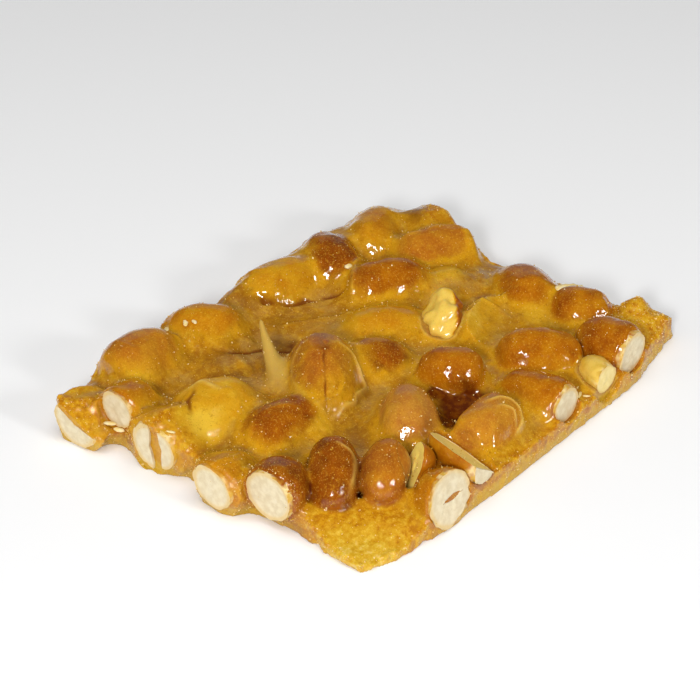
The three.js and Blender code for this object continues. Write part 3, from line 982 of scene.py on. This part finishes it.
def nut_mesh(row):
    """The whole, split or sawn kernel in its own frame in mm, with sharp edges round its cuts."""
    bm = bmesh.new()
    vertices = [bm.verts.new(p) for p in kernel_points(row)]
    for face in ring_faces(RINGS - 1, SEGMENTS):
        bm.faces.new([vertices[k] for k in face]).smooth = True
    if row["split"]:
        cut_away(bm, (0, 0, 0), (0, 0, 1), lambda p: split_relief(p, row), lambda p: np.zeros(len(p)))
    if row["saw"]:
        point, normal = saw_plane(row)
        local_point = to_kernel(point, row)
        local_normal = normal @ turn_matrix(row)
        cut_away(bm, local_point, local_normal, lambda p: sawn_relief(p, row), lambda p: lobes(p, row))
    for edge in bm.edges:
        faces = edge.link_faces
        if len(faces) == 2 and faces[0].material_index != faces[1].material_index:
            edge.smooth = False
    mesh = bpy.data.meshes.new(f"kernel_{row['number'] + 1:02d}")
    bm.to_mesh(mesh)
    bm.free()
    return mesh


def nut_piece(index, grid, materials):
    row = NUTS[index]
    mesh = nut_mesh(row)
    local = np.array([v.co for v in mesh.vertices])
    world = from_kernel(local, row)
    mesh.vertices.foreach_set("co", (world * MM).ravel())
    for material in materials:
        mesh.materials.append(material)
    obj = bpy.data.objects.new(mesh.name, mesh)
    bpy.context.scene.collection.objects.link(obj)
    half = half_sizes(row)
    girth = (1.0 - np.clip(np.abs(local[:, 0] / half[0]), 0, 0.98) ** BLUNTNESS) ** (1 / BLUNTNESS)
    level = np.ones(len(local))
    by_slit = row["slit"] * (np.abs(local[:, 1] + 0.5) < 2.6)
    put_attributes(
        obj,
        kernel=local + 40.0 * index,
        tone=row["tone"] + skin_patches(world) + red_side(world, row),
        haze=row["haze"] * level,
        above=grid.sample(world),
        cut=-saw_distance(world, row) if row["saw"] else FAR_OFF * level,
        tanned=row["tanned"] * level,
        yellow=row["yellow"] * level,
        # how deep the face sinks, which the flesh paints brown, and darker as shade where it sinks
        # deepest
        slit=-sawn_relief(local, row) if row["slit"] else 0.0 * level,
        seam=np.where(by_slit > 0, seam_height(local), FAR_OFF),
        off_axis=np.hypot(local[:, 1] / half[1], local[:, 2] / half[2]) / girth,
    )
    return obj


def crumb_shape(draw):
    """A small broken grain: an octahedron with uneven corners."""
    corners = np.array([[1, 0, 0], [-1, 0, 0], [0, 1, 0], [0, -1, 0], [0, 0, 1], [0, 0, -1.0]])
    corners = corners * draw.uniform(0.5, 1.2, (6, 1)) + draw.uniform(-0.25, 0.25, (6, 3))
    spin = Euler(draw.uniform(0, math.tau, 3)).to_matrix()
    return corners @ np.array(spin).T


CRUMB_FACES = np.array([
    (0, 2, 4), (2, 1, 4), (1, 3, 4), (3, 0, 4), (2, 0, 5), (1, 2, 5), (3, 1, 5), (0, 3, 5),
])


def top_height(grid, x, y):
    """How high the brittle stands at a plan place, caramel or nut, in mm."""
    column = np.column_stack([np.full(140, x), np.full(140, y), np.linspace(0.0, 13.9, 140)])
    solid = grid.sample(column) < 0
    for row in NUTS:
        distance = shell_distance(to_kernel(column, row), row)
        if row["saw"]:
            distance = np.maximum(distance, saw_distance(column, row))
        solid |= distance < 0
    return column[solid, 2].max() if solid.any() else 0.0


def chips_piece(grid, material):
    """Small peanut chips, each laid on whatever is under it."""
    draw = np.random.RandomState(SEED + 1)
    points, faces = [], []
    for place, (length, width), heading in CHIPS:
        turns = np.linspace(0, math.tau, CHIP_SEGMENTS, endpoint=False)
        around, along = np.meshgrid(turns, np.linspace(-1, 1, CHIP_RINGS + 2)[1:-1])
        ring = np.sqrt(1 - along**2) * draw.uniform(0.8, 1.2, along.shape)
        form = [along * length, ring * np.cos(around) * width, ring * np.sin(around) * width * 0.5]
        form = np.stack(form, axis=-1).reshape(-1, 3)
        form = np.concatenate([form, [[-length, 0, 0], [length, 0, 0]]]) / 2
        turn = np.array(Matrix.Rotation(math.radians(heading), 3, "Z"))
        at = np.array(place) + SHIFT
        if not at[2]:
            at[2] = top_height(grid, at[0], at[1]) + 0.1 * width
        first = len(points) * len(form)
        points.append(at + form @ turn.T)
        faces += [[first + k for k in face[::-1]] for face in ring_faces(CHIP_RINGS, CHIP_SEGMENTS)]
    return mesh_object("peanut_chips", np.concatenate(points), faces, [material])


def vertex_values(obj, name):
    return np.array([a.value for a in obj.data.attributes[name].data])


def crumb_places(caramel, kernels):
    """Where crumbs may sit, which way is out there, and how likely each place is."""
    places = np.array([v.co for v in caramel.data.vertices]) / MM
    normals = np.array([v.normal for v in caramel.data.vertices])
    inward = vertex_values(caramel, "inward")
    weight = 0.12 + 0.4 * smoothstep(-inward, -1.6, 0.2)
    weight += 0.2 * smoothstep(-vertex_values(caramel, "corner"), -17, -6)
    weight += 1.0 * smoothstep(-vertex_values(caramel, "knob"), -6, -3)
    weight *= (places[:, 2] > 0.45) & (normals[:, 2] > -0.5)
    found = [(places, normals, weight)]
    for kernel in kernels:
        places = np.array([v.co for v in kernel.data.vertices]) / MM
        normals = np.array([v.normal for v in kernel.data.vertices])
        bare = (vertex_values(kernel, "above") > 0.02) & (places[:, 2] > 1.0) & (normals[:, 2] > 0.0)
        found.append((places, normals, 0.05 * bare * (vertex_values(kernel, "cut") > 0.3)))
    return [np.concatenate(column) for column in zip(*found)]


def crumbs_piece(caramel, kernels, count, material):
    """Loose sugar and caramel crumbs that cling all over, most of them to the walls and the knob."""
    places, normals, weight = crumb_places(caramel, kernels)
    draw = np.random.RandomState(SEED)
    chosen = draw.choice(len(places), count, replace=False, p=weight / weight.sum())
    points, faces = [], []
    for k in chosen:
        size = draw.uniform(*(SMALL_CRUMB if draw.uniform() < SMALL_SHARE else LARGE_CRUMB))
        faces.append(CRUMB_FACES + 6 * len(points))
        points.append(places[k] + normals[k] * 0.4 * size + size * crumb_shape(draw))
    obj = mesh_object("sugar_crumbs", np.concatenate(points), np.concatenate(faces), [material])
    obj.data.polygons.foreach_set("use_smooth", [False] * len(obj.data.polygons))
    return obj


# ---------------------------------------------------------------- materials


class Nodes:
    """A short way to write a material's node tree."""

    def __init__(self, name):
        self.material = bpy.data.materials.new(name)
        self.material.use_nodes = True
        self.tree = self.material.node_tree
        self.tree.nodes.clear()
        self.output = self.tree.nodes.new("ShaderNodeOutputMaterial")

    def add(self, kind, inputs=None, **settings):
        node = self.tree.nodes.new("ShaderNode" + kind)
        for key, value in settings.items():
            setattr(node, key, value)
        for key, value in (inputs or {}).items():
            self.set(node.inputs[key], value)
        return node

    def set(self, socket, value):
        if isinstance(value, bpy.types.NodeSocket):
            self.tree.links.new(value, socket)
        else:
            socket.default_value = value

    def attribute(self, name, output="Fac"):
        return self.add("Attribute", attribute_name=name).outputs[output]

    def math(self, operation, *values):
        node = self.add("Math", operation=operation)
        for socket, value in zip(node.inputs, values):
            self.set(socket, value)
        return node.outputs[0]

    def times(self, a, b):
        return self.math("MULTIPLY", a, b)

    def plus(self, a, b):
        return self.math("ADD", a, b)

    def span(self, value, low, high, to_low=0.0, to_high=1.0):
        """A value's smooth run from one number to another, held at both ends."""
        inputs = {"Value": value, "From Min": low, "From Max": high}
        inputs.update({"To Min": to_low, "To Max": to_high})
        return self.add("MapRange", inputs, interpolation_type="SMOOTHSTEP").outputs["Result"]

    def along(self, name, *ends):
        """An attribute's smooth run, as in span."""
        return self.span(self.attribute(name), *ends)

    def mix(self, share, a, b):
        node = self.add("Mix", data_type="RGBA")
        self.set(node.inputs[0], share)
        self.set(node.inputs[6], a)
        self.set(node.inputs[7], b)
        return node.outputs[2]

    def noise(self, vector, scale, detail=3.0, roughness=0.55):
        inputs = {"Vector": vector, "Scale": scale, "Detail": detail, "Roughness": roughness}
        return self.add("TexNoise", inputs).outputs["Fac"]

    def ramp(self, value, stops):
        node = self.add("ValToRGB", {"Fac": value})
        ramp = node.color_ramp
        while len(ramp.elements) < len(stops):
            ramp.elements.new(0.5)
        for element, (position, colour) in zip(ramp.elements, stops):
            element.position = position
            element.color = (*colour, 1.0)
        return node.outputs["Color"]

    def bump(self, height, strength, distance, normal=None):
        inputs = {"Height": height, "Strength": strength, "Distance": distance}
        node = self.add("Bump", inputs)
        if normal is not None:
            self.set(node.inputs["Normal"], normal)
        return node.outputs["Normal"]

    def finish(self, inputs):
        shader = self.add("BsdfPrincipled", inputs)
        self.tree.links.new(shader.outputs[0], self.output.inputs[0])
        return self.material


SKIN_TONES = [
    (0.0, (0.78, 0.52, 0.09)),
    (0.12, (0.64, 0.37, 0.025)),
    (0.24, (0.58, 0.29, 0.008)),
    (0.42, (0.50, 0.20, 0.004)),
    (0.60, (0.40, 0.122, 0.002)),
    (0.76, (0.28, 0.066, 0.002)),
    (1.0, (0.12, 0.020, 0.001)),
]
PALE_GOLD = (0.72, 0.46, 0.04, 1)
GOLD = (0.57, 0.278, 0.006, 1)
AMBER = (0.41, 0.175, 0.005, 1)
OLIVE = (0.30, 0.118, 0.006, 1)
# a rust brown for specks and seams, also used as painted shade in the hollows and pools
RUST_AND_SHADE = (0.25, 0.068, 0.002, 1)
DARK = (0.080, 0.008, 0.001, 1)
TAN = (0.57, 0.35, 0.022, 1)
MILK = (0.45, 0.26, 0.055, 1)
# a pale veil of dust and painted sheen on the skin
DUST_AND_SHEEN = (0.9, 0.75, 0.55, 1)
FLECK_PALE = (0.62, 0.33, 0.02, 1)
FLECK_DARK = (0.18, 0.04, 0.001, 1)
FRAYED_PALE = (0.84, 0.66, 0.32, 1)
FRAYED_DARK = (0.64, 0.38, 0.05, 1)
BRIGHT_GOLD = (0.62, 0.34, 0.012, 1)
GRAIN_PALE = (0.78, 0.50, 0.06, 1)
GRAIN_DARK = (0.20, 0.06, 0.001, 1)
SLIT_SHADE = (0.17, 0.035, 0.002, 1)
FOLD_PALE = (0.70, 0.46, 0.09, 1)
HORN_GOLD = (0.57, 0.36, 0.07, 1)
CREAM_PALE = (0.78, 0.68, 0.47, 1)
CREAM_DARK = (0.67, 0.55, 0.34, 1)
CREAM_GRAIN = (0.62, 0.44, 0.20, 1)
ROASTED = (1.0, 0.76, 0.13, 1)
RIM_BROWN = (0.70, 0.46, 0.12, 1)
TANNED_MIDDLE = (0.84, 0.60, 0.15, 1)
TANNED_RIM = (0.98, 0.80, 0.36, 1)
CRACK_BROWN = (0.40, 0.22, 0.05, 1)
SLIT_SHADE_BROWN = (0.26, 0.10, 0.012, 1)
CHIP_PALE = (0.88, 0.74, 0.42, 1)
CHIP_DARK = (0.82, 0.60, 0.20, 1)
SUGAR_PALE = (0.88, 0.68, 0.28, 1)
SUGAR_DARK = (0.60, 0.32, 0.02, 1)
FLOOR_WHITE = (0.92, 0.92, 0.92, 1)
CRYSTAL_TONES = [
    (0.28, (0.45, 0.165, 0.003)),
    (0.40, (0.57, 0.27, 0.006)),
    (0.52, (0.62, 0.345, 0.014)),
    (0.66, (0.72, 0.46, 0.04)),
    (0.78, (0.82, 0.62, 0.20)),
]

# How fine each noise pattern is, in cycles per metre.
PATCHES = 330.0
WAVES = 700.0
GRANULES = 900.0
MOTTLES = 2400.0
POWDER = 3400.0


def skin_colour(n, place):
    """The nuts' skin, with the same mottles where it is bare and where it shows through the caramel."""
    patchy = n.noise(place, 420.0, 4.0, 0.6)
    fine = n.noise(place, MOTTLES, 4.0, 0.6)
    skin = n.ramp(n.plus(n.attribute("tone"), n.span(patchy, 0.3, 0.7, -0.07, 0.07)), SKIN_TONES)
    skin = n.mix(n.span(fine, 0.52, 0.70, 0.0, 0.35), skin, FLECK_PALE)
    skin = n.mix(n.span(fine, 0.28, 0.42, 0.25, 0.0), skin, FLECK_DARK)
    # dust and painted sheen: a pale veil over some nuts' skin
    return n.mix(n.attribute("haze"), skin, DUST_AND_SHEEN)


def caramel_colour(n, place, thin, crystals):
    """The caramel by itself: golden where it is thin and amber where it is deep; the rust of its hollows,
    partly painted shade, is added later.
    """
    broad = n.noise(place, 95.0, 3.0)
    patchy = n.noise(place, PATCHES, 4.0, 0.6)
    body = n.mix(n.span(broad, 0.38, 0.62), OLIVE, AMBER)
    body = n.mix(n.span(patchy, 0.42, 0.68, 0.0, 0.55), body, GOLD)
    cloud = n.span(n.noise(place, 150.0, 4.0, 0.6), 0.46, 0.62, 0.0, 0.5)
    body = n.mix(n.times(cloud, n.along("film", 0.6, 1.8)), body, MILK)
    near = n.along("film", 0.5, 2.8, 1.0, 0.0)
    body = n.mix(n.times(near, n.span(patchy, 0.35, 0.6, 0.45, 0.95)), body, GOLD)
    body = n.mix(n.along("golden", 0.0, 1.0, 0.0, 0.8), body, BRIGHT_GOLD)
    body = n.mix(n.along("golden", 1.0, 2.0, 0.0, 0.8), body, PALE_GOLD)
    return n.mix(n.times(thin, 0.9), body, crystals)


def speckled(n, body, corner, granular):
    """Adds pale and rusty specks away from the nuts, and a rusty seam round each bare nut."""
    beyond = n.along("film", 0.2, 0.9)
    body = n.mix(n.times(beyond, n.span(granular, 0.50, 0.72, 0.0, 0.35)), body, PALE_GOLD)
    specks = n.times(beyond, n.span(granular, 0.28, 0.44, 0.5, 0.0))
    body = n.mix(n.times(specks, n.span(corner, 0.0, 1.0, 1.0, 0.4)), body, RUST_AND_SHADE)
    seam = n.times(n.attribute("bare"), n.along("film", 0.1, 0.8, 0.7, 0.0))
    return n.mix(seam, body, RUST_AND_SHADE)


def hollows_shaded_foot_tanned(n, body, patchy):
    """Darkens the caramel in its hollows, as deeper caramel and as painted shade, and turns the foot of
    its walls tan.
    """
    # painted shade: the hollows between the nuts turn rust, as deeper caramel and as shade would darken
    # them
    hollow_shade = n.times(n.along("deep", 0.9, 3.2), n.along("film", 0.5, 1.8, 0.3, 0.68))
    body = n.mix(hollow_shade, body, RUST_AND_SHADE)
    wavy = n.plus(n.attribute("level"), n.span(patchy, 0.3, 0.7, -0.8, 0.8))
    low = n.span(wavy, 1.2, 2.4, 1.0, 0.0)
    wall = n.along("inward", 0.8, 1.6, 0.7, 0.0)
    wall = n.times(wall, n.along("corner", 12.0, 20.0, 0.3, 1.0))
    return n.mix(n.times(low, wall), body, TAN)


def marked(n, body, corner, granular, fine):
    """Adds fine grains, slits painted dark as shade, folds, dark pools with painted shade, and the horn's
    milky gold.
    """
    body = n.mix(n.span(fine, 0.56, 0.70, 0.0, 0.45), body, GRAIN_PALE)
    grains = n.times(n.span(fine, 0.30, 0.42, 0.5, 0.0), n.span(corner, 0.0, 1.0, 1.0, 0.5))
    body = n.mix(grains, body, GRAIN_DARK)
    # painted shade along the slits
    body = n.mix(n.along("slit", 0.0, 0.8, 0.0, 0.85), body, SLIT_SHADE)
    body = n.mix(n.attribute("fold"), body, FOLD_PALE)
    # the pools' dark colour, partly deep caramel and partly painted shade
    pool_and_shade_colour = n.mix(n.span(granular, 0.40, 0.66, 0.0, 0.5), DARK, RUST_AND_SHADE)
    body = n.mix(n.along("pool_and_shade", 0.0, 0.9, 0.0, 0.96), body, pool_and_shade_colour)
    horn = n.times(n.along("horn", 0.0, 1.6, 0.9, 0.0), n.along("level", 5.0, 8.5, 0.4, 1.0))
    return n.mix(horn, body, HORN_GOLD)


def caramel_normal(n, place, patchy, granular, fine, rough):
    """Broad ripples with a grain, which is coarse on the walls and slight elsewhere."""
    grain = n.bump(fine, n.span(rough, 0.0, 1.0, 0.03, 0.3), 0.0001)
    swell = n.bump(granular, n.span(rough, 0.0, 1.0, 0.03, 0.5), 0.00025, grain)
    swell = n.bump(patchy, 0.25, 0.0005, swell)
    return n.bump(n.noise(place, WAVES, 2.0), 0.3, 0.00035, swell)


def caramel_material():
    n = Nodes("caramel")
    place = n.add("TexCoord").outputs["Object"]
    patchy = n.noise(place, PATCHES, 4.0, 0.6)
    granular = n.noise(place, GRANULES, 4.0, 0.65)
    fine = n.noise(place, POWDER, 3.0, 0.7)
    edge = n.along("inward", 0.4, 3.0, 1.0, 0.0)
    corner = n.along("corner", 9.0, 18.0, 1.0, 0.0)
    knob = n.along("knob", 3.5, 6.5, 1.0, 0.0)
    thin = n.math("MAXIMUM", edge, n.math("MAXIMUM", corner, knob))
    lit = n.plus(granular, n.times(knob, 0.08))
    lit = n.plus(lit, n.along("corner", 3.5, 12.0, 0.10, -0.15))
    body = caramel_colour(n, place, thin, n.ramp(lit, CRYSTAL_TONES))
    through = n.plus(n.attribute("film"), n.span(patchy, 0.3, 0.7, -0.12, 0.12))
    body = n.mix(n.span(through, 0.15, 1.0, 1.0, 0.0), body, skin_colour(n, place))
    body = speckled(n, body, corner, granular)
    body = hollows_shaded_foot_tanned(n, body, patchy)
    body = marked(n, body, corner, granular, fine)
    glossy = n.along("film", 2.0, 3.4, 0.06, 0.24)
    glossy = n.times(glossy, n.along("dull", 0.0, 1.0, 1.0, 0.5))
    rough = n.math("MAXIMUM", thin, n.along("film", 1.4, 2.8))
    rough = n.times(rough, n.along("corner", 10.0, 18.0, 0.55, 1.0))
    return n.finish({
        "Base Color": body,
        "Roughness": glossy,
        "IOR": 1.48,
        "Subsurface Weight": 0.3,
        "Subsurface Radius": (1.0, 0.45, 0.05),
        "Subsurface Scale": 0.0009,
        "Normal": caramel_normal(n, place, patchy, granular, fine, rough),
    })


def skin_material():
    n = Nodes("peanut_skin")
    place = n.add("TexCoord").outputs["Object"]
    fine = n.noise(place, MOTTLES, 4.0, 0.6)
    broad = n.noise(place, PATCHES, 2.0)
    skin = skin_colour(n, place)
    frayed = n.noise(place, GRANULES, 3.0)
    ragged = n.plus(n.attribute("cut"), n.span(broad, 0.3, 0.7, -0.9, 0.9))
    ragged = n.plus(ragged, n.span(frayed, 0.3, 0.7, -0.5, 0.5))
    edge = n.mix(n.span(frayed, 0.4, 0.6), FRAYED_DARK, FRAYED_PALE)
    skin = n.mix(n.span(ragged, 0.0, 1.4, 0.9, 0.0), skin, edge)
    ripples = n.bump(n.noise(place, WAVES, 2.0), 0.3, 0.00035, n.bump(broad, 0.2, 0.0004))
    return n.finish({
        "Base Color": skin,
        "Roughness": 0.3,
        "IOR": 1.4,
        "Specular IOR Level": 0.3,
        "Subsurface Weight": 0.15,
        "Subsurface Radius": (1.0, 0.4, 0.08),
        "Subsurface Scale": 0.0008,
        "Coat Weight": 0.6,
        "Coat Roughness": 0.04,
        "Coat IOR": 1.5,
        "Normal": n.bump(fine, 0.12, 0.0001),
        "Coat Normal": ripples,
    })


def flesh_material():
    n = Nodes("peanut_flesh")
    place = n.attribute("kernel", "Vector")
    mottle = n.noise(place, 0.9, 4.0)
    grain = n.noise(place, 5.0, 3.0)
    flesh = n.mix(n.span(mottle, 0.3, 0.7), CREAM_DARK, CREAM_PALE)
    flesh = n.mix(n.times(n.attribute("yellow"), 0.9), flesh, ROASTED)
    rim = n.along("off_axis", 0.8, 1.0)
    flesh = n.mix(n.times(rim, 0.6), flesh, RIM_BROWN)
    inner = n.times(n.attribute("tanned"), n.along("cut", 0.2, 0.8))
    flesh = n.mix(inner, flesh, n.mix(rim, TANNED_MIDDLE, TANNED_RIM))
    flesh = n.mix(n.span(grain, 0.6, 0.8, 0.0, 0.35), flesh, CREAM_GRAIN)
    crack = n.span(n.math("ABSOLUTE", n.attribute("seam")), 0.05, 0.14, 0.6, 0.0)
    flesh = n.mix(crack, flesh, CRACK_BROWN)
    # the slit's own brown deepening into painted shade where the face sinks deepest
    flesh = n.mix(n.along("slit", -0.4, -0.12, 0.9, 0.0), flesh, SLIT_SHADE_BROWN)
    return n.finish({
        "Base Color": flesh,
        "Roughness": 0.6,
        "Subsurface Weight": 0.15,
        "Subsurface Radius": (1.0, 0.8, 0.5),
        "Subsurface Scale": 0.0006,
        "Normal": n.bump(grain, 0.3, 0.0002),
    })


def chip_material():
    n = Nodes("peanut_chip")
    place = n.add("TexCoord").outputs["Object"]
    mottle = n.noise(place, 1200.0, 3.0)
    colour = n.mix(n.span(mottle, 0.35, 0.65), CHIP_DARK, CHIP_PALE)
    return n.finish({
        "Base Color": colour,
        "Roughness": 0.5,
        "Normal": n.bump(mottle, 0.3, 0.0002),
    })


def sugar_material():
    n = Nodes("sugar")
    place = n.add("TexCoord").outputs["Object"]
    each = n.noise(place, 1500.0, 1.0)
    colour = n.mix(n.span(each, 0.35, 0.65), SUGAR_DARK, SUGAR_PALE)
    return n.finish({
        "Base Color": colour,
        "Roughness": 0.25,
        "IOR": 1.5,
        "Subsurface Weight": 0.1,
        "Subsurface Radius": (1.0, 0.8, 0.4),
        "Subsurface Scale": 0.0003,
    })


# ---------------------------------------------------------------- setting


CAMERA_ANGLES = (-50, 34)  # azimuth and elevation, in degrees
CAMERA_DISTANCE = 0.381  # in m
CAMERA_TARGET = (5.5, 10.5, 0.0)  # in the plan that the nuts' places are in, in mm
LENS = 110
SENSOR = 36
FLOOR_HALF = 4000.0  # in mm
WORLD_LIGHT = 0.05


def aim(obj, azimuth, elevation, distance, target=(0, 0, 0)):
    """Stands a lamp or camera at these angles in degrees and this far from a target in m, facing it."""
    a, e = math.radians(azimuth), math.radians(elevation)
    away = Vector((math.sin(a) * math.cos(e), -math.cos(a) * math.cos(e), math.sin(e)))
    obj.location = Vector(target) + away * distance
    obj.rotation_euler = away.to_track_quat("Z", "Y").to_euler()
    bpy.context.scene.collection.objects.link(obj)


def area_light(name, azimuth, elevation, distance, size, brightness, glints=True):
    """A softbox that lights a surface facing it as brightly as this share of plain white."""
    light = bpy.data.lights.new(name, "AREA")
    light.size = size
    light.energy = brightness * (math.pi * distance) ** 2
    obj = bpy.data.objects.new(name, light)
    obj.visible_glossy = glints
    aim(obj, azimuth, elevation, distance)


def set_camera():
    camera = bpy.data.cameras.new("camera")
    camera.lens = LENS
    camera.sensor_width = SENSOR
    obj = bpy.data.objects.new("camera", camera)
    aim(obj, *CAMERA_ANGLES, CAMERA_DISTANCE, Vector(CAMERA_TARGET) * MM + Vector(SHIFT) * MM)
    bpy.context.scene.camera = obj


def set_stage():
    n = Nodes("floor")
    material = n.finish({"Base Color": FLOOR_WHITE, "Roughness": 0.9})
    corners = FLOOR_HALF * np.array([[-1, -1, 0], [1, -1, 0], [1, 1, 0], [-1, 1, 0]])
    floor = mesh_object("floor", corners, [(0, 1, 2, 3)], [material])
    world = bpy.data.worlds.new("studio")
    world.use_nodes = True
    sky = world.node_tree.nodes["Background"]
    sky.inputs[0].default_value = (1, 1, 1, 1)
    sky.inputs[1].default_value = WORLD_LIGHT
    bpy.context.scene.world = world
    bpy.context.scene.view_settings.view_transform = "Standard"


def build():
    grid = Grid()
    edge = outline()
    inward = inward_distance(grid.plan(), edge)
    heights = cast_heights(grid, inward)
    grid.field = slab_field(grid, inward, heights)
    wrap_nuts(grid)
    roughen(grid, inward)
    add_horn(grid)
    add_lines(grid)
    clear_faces(grid)
    caramel = caramel_piece(grid, inward, heights, caramel_material())
    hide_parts("caramel_slab")
    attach(caramel, "root")
    materials = [skin_material(), flesh_material()]
    kernels = [nut_piece(index, grid, materials) for index in range(len(NUTS))]
    for index, (row, kernel) in enumerate(zip(NUTS, kernels)):
        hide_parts(f"peanut_{index + 1:02d}")
        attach(kernel, "root")
    chips = chips_piece(grid, chip_material())
    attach(chips, "root")
    crumbs = crumbs_piece(caramel, kernels, CRUMBS, sugar_material())
    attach(crumbs, "root")


build()
set_stage()
set_camera()
area_light("key", -62, 29, 0.6, 0.10, 0.55)
area_light("side", 4, 25, 0.6, 0.09, 0.29)
area_light("left", -110, 30, 0.8, 0.6, 0.18, glints=False)
area_light("fill", -50, 80, 0.8, 0.8, 0.66, glints=False)
area_light("back", 130, 16, 0.8, 0.6, 0.045)
